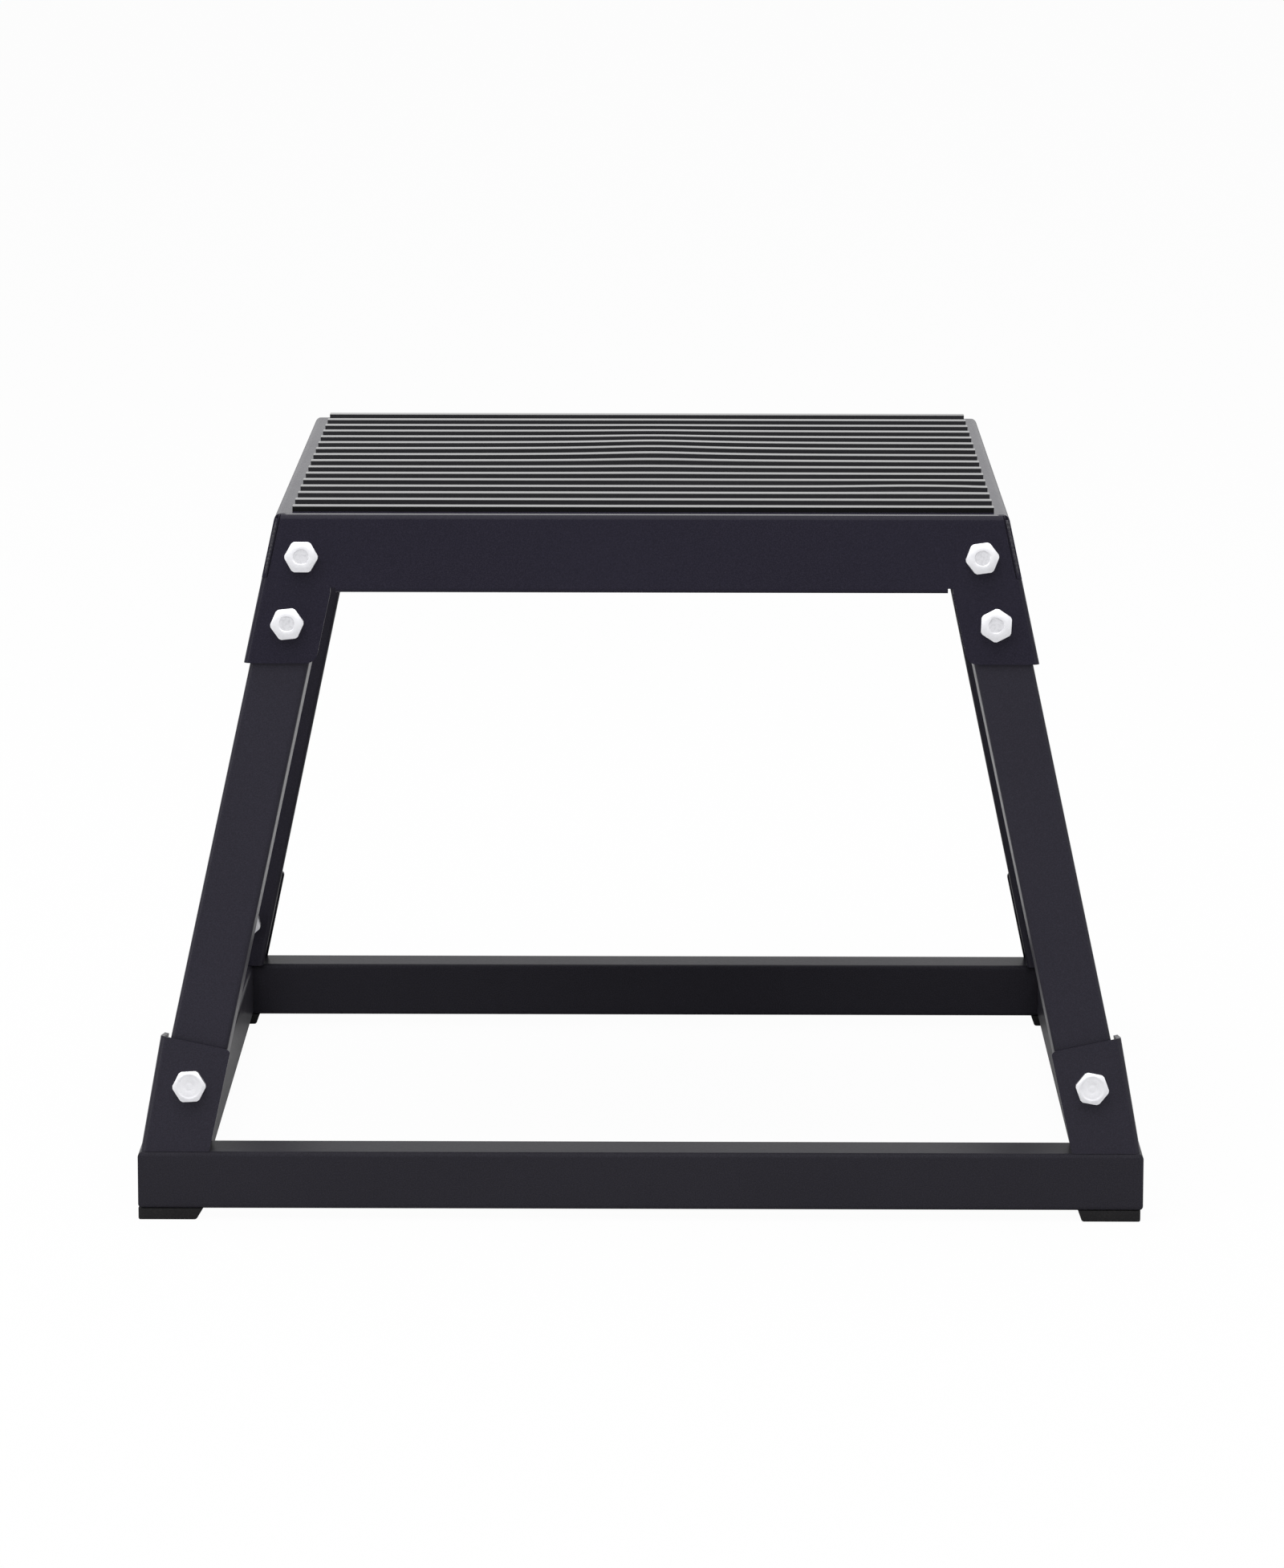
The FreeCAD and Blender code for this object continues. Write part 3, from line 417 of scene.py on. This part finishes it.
def powder_coat(piece):
    """Fine black coat of the frame, legs, tray or welds: slow patches, orange peel and powder grains, on each
    part's own colours, which hold its painted light or shade.
    """
    finish = settings().finish
    shader = Shader(bpy.data.materials.new(f"{piece}_coat"))
    patches = shader.grain(PATCH_SIZE)
    peel = shader.grain(PEEL_SIZE, SOFT)
    powder = shader.grain(POWDER_SIZE)
    fleck = shader.clamp(FLECK_SHARE + powder.swing(POWDER_CONTRAST) + patches.swing(PATCH_CONTRAST))
    gloss = crest_gloss(shader) if piece == "tray" else {}
    roughness = getattr(finish, f"{piece}_roughness")
    return shader.principled(
        **gloss,
        # The part's coat and fleck colours carry its painted light or shade
        Base_Color=shader.tint(fleck, getattr(finish, f"{piece}_coat"), getattr(finish, f"{piece}_fleck")),
        Roughness=roughness + peel.swing(COAT_SPREAD) + patches.swing(COAT_SPREAD),
        Specular_IOR_Level=getattr(finish, f"{piece}_specular"),
        Normal=shader.bump(powder * POWDER_RELIEF + peel * PEEL_RELIEF, COAT_BUMP),
    )


def zinc_plating(kind, stain_size):
    """Bright plating, or that in the dishes, with stains of the given size and a slightly pitted skin."""
    finish = settings().finish
    shader = Shader(bpy.data.materials.new(f"{kind}_finish"))
    stains = shader.grain(stain_size, CRISP)
    pits = shader.grain(PIT_SIZE)
    stained = shader.clamp((stains - STAIN_LEVEL) * STAIN_CONTRAST)
    return shader.principled(
        Base_Color=shader.tint(stained, getattr(finish, kind), getattr(finish, f"{kind}_stain")),
        Metallic=1.0,
        Roughness=finish.zinc_roughness + stains.swing(ZINC_SPREAD),
        Normal=shader.bump(pits * PIT_RELIEF + stains * STAIN_RELIEF, ZINC_BUMP),
    )


def mat_rubber(zone):
    """Moulded rubber of one zone of the mat, with a pale bloom and a fine grain; the valleys' lighter rubber
    is painted light.
    """
    finish = settings().finish
    shader = Shader(bpy.data.materials.new(f"mat_{zone}"))
    bloom = shader.grain(BLOOM_SIZE, CRISP, BLOOM_STRETCH)
    grain = shader.grain(GRAIN_SIZE)
    dust = shader.clamp((bloom - BLOOM_LEVEL) * BLOOM_CONTRAST + grain.swing(GRAIN_CONTRAST))
    roughness = getattr(finish, f"{zone}_roughness")
    return shader.principled(
        Base_Color=shader.tint(dust, getattr(finish, f"{zone}_rubber"), getattr(finish, f"{zone}_bloom")),
        Roughness=roughness + bloom.swing(BLOOM_SPREAD) + grain.swing(GRAIN_SPREAD),
        Specular_IOR_Level=getattr(finish, f"{zone}_specular"),
        Normal=shader.bump(grain, RUBBER_BUMP),
    )


def pad_rubber():
    """Dull crumbed rubber."""
    finish = settings().finish
    shader = Shader(bpy.data.materials.new("pad_finish"))
    crumbs = shader.grain(CRUMB_SIZE, CRISP)
    patches = shader.grain(PAD_PATCH_SIZE)
    fleck = shader.clamp(crumbs.swing(CRUMB_CONTRAST) + patches.swing(PAD_PATCH_CONTRAST))
    return shader.principled(
        Base_Color=shader.tint(fleck, finish.pad, finish.pad_fleck),
        Roughness=finish.pad_roughness + crumbs.swing(PAD_SPREAD),
        Specular_IOR_Level=finish.pad_specular,
        Normal=shader.bump(crumbs, CRUMB_BUMP, CRUMB_REACH),
    )


def add_piece(name, bm, material, replaced=(), smooth_below=SMOOTH_BOLT):
    """Object from a bmesh, riding on the box and standing for the replaced nodes."""
    bmesh.ops.recalc_face_normals(bm, faces=bm.faces)
    mesh = bpy.data.meshes.new(name)
    bm.to_mesh(mesh)
    bm.free()
    mesh.shade_smooth()
    mesh.set_sharp_from_angle(angle=math.radians(smooth_below))
    mesh.materials.append(material)
    piece = bpy.data.objects.new(name, mesh)
    bpy.context.scene.collection.objects.link(piece)
    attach(piece, BODY)
    if replaced:
        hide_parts(*replaced)
    return piece


def solids_of(node):
    """Corner points of each separate solid of a CAD node."""
    bm = bmesh.new()
    bm.from_mesh(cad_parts[node].data)
    bmesh.ops.remove_doubles(bm, verts=bm.verts, dist=SAME_POINT)
    waiting = set(bm.verts)
    solids = []
    while waiting:
        front = [waiting.pop()]
        points = []
        while front:
            vert = front.pop()
            points.append(tuple(vert.co))
            near = {edge.other_vert(vert) for edge in vert.link_edges} & waiting
            waiting -= near
            front.extend(near)
        solids.append(np.array(points))
    bm.free()
    return sorted(solids, key=lambda points: tuple(points.mean(0).round(SORT_DIGITS)))


def bolt_seat(points):
    """Frame under the middle of a bolt's head, Z out and X to a corner, its length below, and its head."""
    middle = points.mean(0)
    offsets = points - middle
    axis = np.linalg.eigh(offsets.T @ offsets)[1][:, -1]
    along = offsets @ axis
    across = offsets - np.outer(along, axis)
    reach = np.linalg.norm(across, axis=1)
    corner = reach.argmax()
    if along[corner] < 0:
        axis = -axis
        along = -along
    head = along[reach > HEAD_SHARE * reach.max()]
    out = Vector(axis)
    aside = Vector(across[corner]).normalized()
    seat = Matrix((aside, out.cross(aside), out)).transposed().to_4x4()
    seat.translation = Vector(middle) + out * head.min()
    return seat, head.min() - along.min(), head.max() - head.min()


def nut_seat(points, bolts):
    """Frame of a nut on the bolt that it is screwed on, turned to its own corners, with its two ends."""
    for seat, _, _ in bolts:
        back = np.array(seat.inverted())
        local = points @ back[:3, :3].T + back[:3, 3]
        if np.linalg.norm(local.mean(0)[:2]) < MM:
            corner = local[np.linalg.norm(local[:, :2], axis=1).argmax()]
            turn = Matrix.Rotation(math.atan2(corner[1], corner[0]), 4, "Z")
            return seat @ turn, local[:, 2].min(), local[:, 2].max()
    raise RuntimeError("a nut has no bolt")


def ring(bm, radius, height):
    """Ring of vertices; radius and height are numbers or functions of the angle."""
    verts = []
    for step in range(TURN_STEPS):
        turn = 2 * math.pi * step / TURN_STEPS
        reach = radius(turn) if callable(radius) else radius
        level = height(turn) if callable(height) else height
        verts.append(bm.verts.new((reach * math.cos(turn), reach * math.sin(turn), level)))
    return verts


def skin(bm, rings, closed=False):
    """Quads between neighbouring rings."""
    pairs = list(zip(rings, rings[1:]))
    if closed:
        pairs.append((rings[-1], rings[0]))
    for low, high in pairs:
        count = len(low)
        for step in range(count):
            after = (step + 1) % count
            bm.faces.new((low[step], low[after], high[after], high[step]))


def fan(bm, edge, point):
    """Triangles from a ring to one point."""
    tip = bm.verts.new(point)
    for step, vert in enumerate(edge):
        bm.faces.new((vert, edge[(step + 1) % len(edge)], tip))


def hexagon_reach(sizes, turn):
    """Distance from the axis to the hexagon, with blunted corners."""
    apothem = sizes.flats / 2
    from_flat = (turn % SIXTH_TURN) - SIXTH_TURN / 2
    return min(apothem / math.cos(from_flat), apothem / math.cos(SIXTH_TURN / 2) - sizes.corner_cut)


def chamfer_fall(sizes, turn):
    """Fall of the chamfer at the edge of the hexagon."""
    past = hexagon_reach(sizes, turn) - sizes.chamfer_circle / 2
    return max(past, 0.0) * math.tan(sizes.chamfer_angle)


def thread_reach(sizes, turn, level):
    """Distance from the axis to the thread, between its crest and its root."""
    phase = (level / sizes.thread_pitch - turn / (2 * math.pi)) % 1.0
    return sizes.shank / 2 - sizes.thread_depth * abs(2 * phase - 1)


def dished_face(bm, sizes, head, seed):
    """Rings of a head with a stamped dish, its edge slightly uneven."""
    dish = sizes.dish_width / 2
    rings = []
    for share, drop in DISH_RINGS:

        def reach(turn, share=share):
            uneven = noise.noise(Vector((math.cos(turn), math.sin(turn), seed)))
            return dish * share * (1 + DISH_UNEVEN * uneven)

        rings.append(ring(bm, reach, head - drop * sizes.dish_depth))
    return rings


def turned_face(bm, sizes, head):
    """Rings of a flat head with shallow turning marks."""
    return [
        ring(bm, share * sizes.chamfer_circle / 2, head - drop * sizes.ring_depth)
        for share, drop in TURNED_RINGS
    ]


def bolt_solid(sizes, shank_length, head, dish_seed):
    """Hex bolt with a washer face, a chamfered head and a threaded end; no seed means a turned head."""
    bm = bmesh.new()
    shank = sizes.shank / 2
    root = shank - sizes.thread_depth
    tail = -shank_length
    rings = [ring(bm, TIP_SHARE * root, tail), ring(bm, root, tail + TIP_RISE * sizes.thread_depth)]
    step = sizes.thread_pitch / THREAD_STEPS
    start = tail + sizes.thread_depth
    for index in range(int(sizes.thread_run / step)):
        level = start + index * step
        rings.append(ring(bm, lambda turn, at=level: thread_reach(sizes, turn, at), level))
    rings += [ring(bm, shank, start + sizes.thread_run), ring(bm, shank, 0.0)]
    seat = sizes.flats / 2 * SEAT_SHARE
    rings += [ring(bm, seat, 0.0), ring(bm, seat, sizes.washer_face)]

    def side(turn):
        return hexagon_reach(sizes, turn)

    rings.append(ring(bm, side, sizes.washer_face))
    rings.append(ring(bm, side, lambda turn: head - chamfer_fall(sizes, turn)))
    rings.append(ring(bm, sizes.chamfer_circle / 2, head))
    dished = dish_seed is not None
    rings += dished_face(bm, sizes, head, dish_seed) if dished else turned_face(bm, sizes, head)
    skin(bm, rings)
    fan(bm, rings[0], (0, 0, tail))
    fan(bm, rings[-1], (0, 0, rings[-1][0].co.z))
    for face in bm.faces:
        middle = face.calc_center_median()
        sunk = middle.z > sizes.washer_face and middle.xy.length < sizes.dish_width / 2
        face.material_index = int(dished and sunk)
    return bm


def nut_solid(sizes, low, high):
    """Hex nut chamfered on both faces, with a countersunk bore."""
    bm = bmesh.new()
    bore = sizes.bore / 2
    sink = sizes.thread_depth * SINK_SHARE
    circle = sizes.chamfer_circle / 2

    def side(turn):
        return hexagon_reach(sizes, turn)

    rings = [ring(bm, bore, low + sink), ring(bm, bore + sink, low), ring(bm, circle, low)]
    rings.append(ring(bm, side, lambda turn: low + chamfer_fall(sizes, turn)))
    rings.append(ring(bm, side, lambda turn: high - chamfer_fall(sizes, turn)))
    rings += [ring(bm, circle, high), ring(bm, bore + sink, high), ring(bm, bore, high - sink)]
    skin(bm, rings, closed=True)
    return bm


def gather(parts):
    """One bmesh from several placed ones."""
    whole = bmesh.new()
    for bm, place in parts:
        bm.transform(place)
        carrier = bpy.data.meshes.new("carrier")
        bm.to_mesh(carrier)
        bm.free()
        whole.from_mesh(carrier)
        bpy.data.meshes.remove(carrier)
    return whole


def rib_pitch(sizes):
    """Distance from one rib of the mat to the next."""
    return (MAT_HIGH.y - MAT_LOW.y - sizes.rib_width) / (sizes.rib_count - 1)


def mat_lift(sizes, x, y):
    """How far the mat stands above its even level: a thinner front, a broad hump and a ripple in one rib."""
    thin = sizes.thin * (MAT_HIGH.y - y) / (MAT_HIGH.y - MAT_LOW.y)
    across = (x - HUMP_X) / HUMP_WIDTH
    along = (y - HUMP_Y) / HUMP_DEPTH
    hump = sizes.hump / (1 + across * across) * math.exp(-along * along / 2)
    aside = (x - RIPPLE_X) / RIPPLE_WIDTH
    behind = (y - RIPPLE_Y) / (RIPPLE_PITCHES * rib_pitch(sizes))
    ripple = sizes.ripple * math.exp(-aside * aside / 2 - behind * behind / 2)
    end = min(x - MAT_LOW.x, MAT_HIGH.x - x, FLAT_END) / FLAT_END
    return (hump + ripple) * end - thin


def rib_profile(sizes, front):
    """Section of one rib from its front root to its rear root, as (y, height above the plate)."""
    top = MAT_HIGH.z - PLATE_TOP
    bend = sizes.edge_round
    root = sizes.root_round
    points = [
        (front - root, sizes.base),
        (front - ROOT_SHARE * root, sizes.base + ROOT_SHARE * root),
        (front, sizes.base + root),
    ]
    shoulder = front + sizes.draft
    for step in range(EDGE_STEPS + 1):
        turn = math.pi / 2 * step / EDGE_STEPS
        points.append((shoulder + bend * (1 - math.cos(turn)), top - bend * (1 - math.sin(turn))))
    middle = front + sizes.rib_width / 2
    points.append((middle, top + RIB_CROWN))
    points += [(2 * middle - y, z) for y, z in reversed(points[:-1])]
    return points


def mat_profile(sizes):
    """Section of the whole mat: all ribs in a row, with upright ends down to the plate."""
    points = []
    for index in range(sizes.rib_count):
        rib = rib_profile(sizes, MAT_LOW.y + index * rib_pitch(sizes))
        if index == 0:
            rib = [(MAT_LOW.y, 0.0)] + rib[2:]
        if index == sizes.rib_count - 1:
            rib = rib[:-2] + [(MAT_HIGH.y, 0.0)]
        points += rib
    return points


def mat_zone(sizes, face):
    """Zone of a face of the mat: its front, rear and end faces; the trodden top of a rib; or the valleys and
    rib sides between, in rubber made lighter as painted light.
    """
    face.normal_update()
    corners = [vert.co for vert in face.verts]
    across = max(corner.x for corner in corners) - min(corner.x for corner in corners)
    on_plate = min(corner.z for corner in corners) <= PLATE_TOP
    if on_plate or across == 0.0 or corners[0].y == MAT_LOW.y:
        return "edge"
    height = min(corner.z - mat_lift(sizes, corner.x, corner.y) for corner in corners) - PLATE_TOP
    trodden = height > TREAD_BASES * sizes.base and abs(face.normal.z) > TREAD_SLOPE
    # Faces other than rib tops take the lighter valley rubber, which is painted light
    return "rib" if trodden else "valley"


def bead_ring(bm, steel, lean, flip, share):
    """Ring of a weld bead at a share of its length; lean and flip hold the corner's slopes and sides."""
    flip_x, flip_y = flip
    fall = steel.notch + (steel.seam_drop - steel.notch) * (BEAD_START + BEAD_RUN * share)
    ripple = abs(math.sin(math.pi * fall / steel.bead_step + BEAD_PHASE * flip_x))
    rough = noise.noise(Vector((fall / MM, BEAD_SEED_X * flip_x, BEAD_SEED_Y * flip_y)))
    taper = min(1.0, BEAD_TAPER * share + BEAD_TIP, BEAD_TAPER * (1 - share) + BEAD_TIP)
    past_lump = (fall - LUMP_NOTCHES * steel.notch) / LUMP_RUN
    lump = max(flip_x, 0) * steel.lump * math.exp(-(past_lump**2))
    radius = steel.bead * taper * (BEAD_EVEN + BEAD_RIPPLE * ripple + BEAD_ROUGH * rough) + lump
    x = flip_x * (steel.top_width / 2 + lean[0] * fall - BEAD_INSET * steel.sheet)
    y = flip_y * (steel.top_depth / 2 + lean[1] * fall - BEAD_SINK * steel.bead)
    middle = Vector((x, y, PLATE_TOP - fall))
    verts = []
    for step in range(BEAD_SIDES):
        turn = 2 * math.pi * step / BEAD_SIDES
        offset = Vector((BEAD_SPREAD * math.cos(turn), math.sin(turn), 0)) * radius
        verts.append(bm.verts.new(middle + offset))
    return verts


class PLYOBOX_OT_coat_steel(bpy.types.Operator):
    """Give the frame, legs, sockets and tray their powder coat"""

    bl_idname = "plyobox.coat_steel"
    bl_label = "Coat Steel"

    def execute(self, context):
        for piece, nodes in STEEL.items():
            coat = powder_coat(piece)
            for name in nodes:
                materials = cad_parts[name].data.materials
                materials.clear()
                materials.append(coat)
        return {"FINISHED"}


class PLYOBOX_OT_weld_corners(bpy.types.Operator):
    """Lay a short rippled weld bead on each corner seam of the tray"""

    bl_idname = "plyobox.weld_corners"
    bl_label = "Weld Corners"

    def execute(self, context):
        steel = settings().steel
        low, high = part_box("platform_tray")
        drop = high.z - low.z
        lean = ((high.x - steel.top_width / 2) / drop, (high.y - steel.top_depth / 2) / drop)
        coat = powder_coat("weld")
        for corner in CORNERS:
            flip = (1 if "right" in corner else -1, 1 if "rear" in corner else -1)
            bm = bmesh.new()
            shares = [step / BEAD_STEPS for step in range(BEAD_STEPS + 1)]
            rings = [bead_ring(bm, steel, lean, flip, share) for share in shares]
            skin(bm, rings)
            bm.faces.new(rings[0])
            bm.faces.new(rings[-1])
            add_piece(f"corner_weld_{corner}", bm, coat, smooth_below=SMOOTH_WELD)
        return {"FINISHED"}


class PLYOBOX_OT_make_fasteners(bpy.types.Operator):
    """Replace the plain bolts and nuts with chamfered, dished and threaded ones"""

    bl_idname = "plyobox.make_fasteners"
    bl_label = "Make Fasteners"

    def execute(self, context):
        sizes = settings().fasteners
        zinc = zinc_plating("zinc", ZINC_STAIN_SIZE)
        dish = zinc_plating("dish", DISH_STAIN_SIZE)
        for group in ("platform", "socket"):
            bolts_node, nuts_node = f"{group}_bolts", f"{group}_nuts"
            bolts = [bolt_seat(points) for points in solids_of(bolts_node)]
            solids = []
            for index, (seat, shank_length, head) in enumerate(bolts):
                dish_seed = DISH_SEED * index if group == "platform" else None
                solids.append((bolt_solid(sizes, shank_length, head, dish_seed), seat))
            plated = add_piece(f"{bolts_node}_plated", gather(solids), zinc, [bolts_node])
            plated.data.materials.append(dish)
            nuts = [nut_seat(points, bolts) for points in solids_of(nuts_node)]
            solids = [(nut_solid(sizes, low, high), seat) for seat, low, high in nuts]
            add_piece(f"{nuts_node}_plated", gather(solids), zinc, [nuts_node])
        return {"FINISHED"}


class PLYOBOX_OT_make_mat(bpy.types.Operator):
    """Make the ribbed mat with rounded ribs and the places where it lifts"""

    bl_idname = "plyobox.make_mat"
    bl_label = "Make Mat"

    def execute(self, context):
        sizes = settings().mat
        profile = mat_profile(sizes)
        bm = bmesh.new()
        loops = []
        left = MAT_LOW.x + sizes.left_trim
        for column in range(MAT_COLUMNS + 1):
            x = left + (MAT_HIGH.x - left) * column / MAT_COLUMNS
            loop = []
            for y, height in profile:
                lift = mat_lift(sizes, x, y) if height > 0 else 0.0
                loop.append(bm.verts.new((x, y, PLATE_TOP + height + lift)))
            loops.append(loop)
        skin(bm, loops)
        for loop in (loops[0], loops[-1]):
            bm.faces.new(loop)
        for face in bm.faces:
            face.material_index = MAT_ZONES.index(mat_zone(sizes, face))
        rubbers = [mat_rubber(zone) for zone in MAT_ZONES]
        mat = add_piece("ribbed_mat_moulded", bm, rubbers[0], ["ribbed_mat"], SMOOTH_MAT)
        for rubber in rubbers[1:]:
            mat.data.materials.append(rubber)
        return {"FINISHED"}


class PLYOBOX_OT_make_pads(bpy.types.Operator):
    """Make the crumbed rubber pads under the frame's corners"""

    bl_idname = "plyobox.make_pads"
    bl_label = "Make Pads"

    def execute(self, context):
        sizes = settings().pads
        rubber = pad_rubber()
        rounding = {"offset": sizes.edge, "segments": PAD_SEGMENTS, "profile": PAD_PROFILE, "affect": "EDGES"}
        for corner in CORNERS:
            low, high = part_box(f"{corner}_foot")
            inward = 1 if "left" in corner else -1
            outer, inner = (low.x, high.x) if inward > 0 else (high.x, low.x)
            bevel = sizes.bevel
            if corner == "front_left":
                bevel = sizes.front_left_bevel
                outer -= sizes.front_left_reach
            section = ((outer, high.z), (outer, low.z), (inner - inward * bevel, low.z), (inner, high.z))
            bm = bmesh.new()
            front = [bm.verts.new((x, low.y, z)) for x, z in section]
            rear = [bm.verts.new((x, high.y, z)) for x, z in section]
            skin(bm, [front, rear])
            bm.faces.new(front)
            bm.faces.new(rear)
            sole = [edge for edge in bm.edges if max(vert.co.z for vert in edge.verts) < high.z]
            upright = [edge for edge in bm.edges if abs(edge.verts[0].co.z - edge.verts[1].co.z) > MM]
            bmesh.ops.bevel(bm, geom=sole + upright, **rounding)
            add_piece(f"{corner}_pad", bm, rubber, [f"{corner}_foot"], SMOOTH_PAD)
        return {"FINISHED"}


class PLYOBOX_OT_set_studio(bpy.types.Operator):
    """Set the pale floor, the soft lamps, the white room and the camera"""

    bl_idname = "plyobox.set_studio"
    bl_label = "Set Studio"

    def execute(self, context):
        studio = settings().studio
        scene = context.scene
        scene.view_settings.view_transform = "Standard"
        self.lay_floor(scene, studio)
        self.light_room(scene, studio)
        for name, (setting, place, target, sides) in LAMPS.items():
            self.hang_lamp(scene, name, getattr(studio, setting), place, target, sides)
        self.set_camera(scene, studio)
        return {"FINISHED"}

    def lay_floor(self, scene, studio):
        bm = bmesh.new()
        bm.faces.new([bm.verts.new((x * FLOOR_HALF, y * FLOOR_HALF, 0.0)) for x, y in FLOOR_CORNERS])
        mesh = bpy.data.meshes.new("floor")
        bm.to_mesh(mesh)
        bm.free()
        floor = bpy.data.objects.new("floor", mesh)
        scene.collection.objects.link(floor)
        shader = Shader(bpy.data.materials.new("floor_paper"))
        paper = shader.node("ShaderNodeBsdfDiffuse", None, {"Color": (*studio.floor, 1.0)})
        white = shader.node("ShaderNodeEmission", None, {"Color": WHITE, "Strength": 1.0})
        camera, glossy, transmission = self.rays(shader)
        mirrored = shader.clamp(glossy + transmission) * studio.floor_mirrored
        share = camera * studio.floor_white + mirrored
        mixed = shader.node("ShaderNodeMixShader", None, {0: share, 1: paper, 2: white})
        shader.node("ShaderNodeOutputMaterial", None, {"Surface": mixed})
        mesh.materials.append(shader.owner)

    def light_room(self, scene, studio):
        scene.world = bpy.data.worlds.new("studio_room")
        shader = Shader(scene.world)
        seen = shader.clamp(sum(self.rays(shader)))
        strength = studio.ambient + seen * (1.0 - studio.ambient)
        room = shader.node("ShaderNodeBackground", None, {"Color": WHITE, "Strength": strength})
        shader.node("ShaderNodeOutputWorld", None, {"Surface": room})

    def rays(self, shader):
        """Which rays see the white of the room and the floor, one signal each."""
        return [shader.node("ShaderNodeLightPath", None, None, f"Is {kind} Ray") for kind in SEEN_BY]

    def hang_lamp(self, scene, name, watts, place, target, sides):
        lamp = bpy.data.lights.new(name, "AREA")
        lamp.shape = "RECTANGLE"
        lamp.size, lamp.size_y = sides
        lamp.energy = watts
        holder = bpy.data.objects.new(name, lamp)
        holder.visible_camera = False
        holder.location = place
        holder.rotation_euler = (Vector(target) - Vector(place)).to_track_quat("-Z", "Y").to_euler()
        scene.collection.objects.link(holder)

    def set_camera(self, scene, studio):
        camera = bpy.data.cameras.new("camera")
        camera.lens = studio.lens
        camera.clip_end = CAMERA_REACH
        holder = bpy.data.objects.new("camera", camera)
        aim = Matrix.Rotation(studio.yaw, 4, "Z") @ Matrix.Rotation(math.pi / 2 - studio.pitch, 4, "X")
        holder.matrix_world = Matrix.Translation(studio.eye) @ aim @ Matrix.Rotation(studio.roll, 4, "Z")
        scene.collection.objects.link(holder)
        scene.camera = holder


STEPS = (
    PLYOBOX_OT_coat_steel,
    PLYOBOX_OT_weld_corners,
    PLYOBOX_OT_make_fasteners,
    PLYOBOX_OT_make_mat,
    PLYOBOX_OT_make_pads,
    PLYOBOX_OT_set_studio,
)


class PLYOBOX_PT_panel(bpy.types.Panel):
    """Steps and settings of the plyo box"""

    bl_idname = "PLYOBOX_PT_panel"
    bl_label = "Plyo Box"
    bl_space_type = "VIEW_3D"
    bl_region_type = "UI"
    bl_category = "Plyo Box"

    def draw(self, context):
        for step in STEPS:
            self.layout.operator(step.bl_idname)
        groups = context.scene.plyo_box
        for name in groups.bl_rna.properties.keys():
            group = getattr(groups, name)
            if isinstance(group, bpy.types.PropertyGroup):
                box = self.layout.box()
                box.label(text=name.capitalize())
                for part in group.__annotations__:
                    box.prop(group, part)


CLASSES = (
    PlyoBoxFinish,
    PlyoBoxFasteners,
    PlyoBoxMat,
    PlyoBoxPads,
    PlyoBoxSteel,
    PlyoBoxStudio,
    PlyoBoxSettings,
    *STEPS,
    PLYOBOX_PT_panel,
)


def register():
    for item in CLASSES:
        bpy.utils.register_class(item)
    bpy.types.Scene.plyo_box = PointerProperty(type=PlyoBoxSettings)


def unregister():
    del bpy.types.Scene.plyo_box
    for item in reversed(CLASSES):
        bpy.utils.unregister_class(item)


def main():
    register()
    bpy.ops.plyobox.coat_steel()
    bpy.ops.plyobox.weld_corners()
    bpy.ops.plyobox.make_fasteners()
    bpy.ops.plyobox.make_mat()
    bpy.ops.plyobox.make_pads()
    bpy.ops.plyobox.set_studio()


if __name__ == "__main__":
    main()
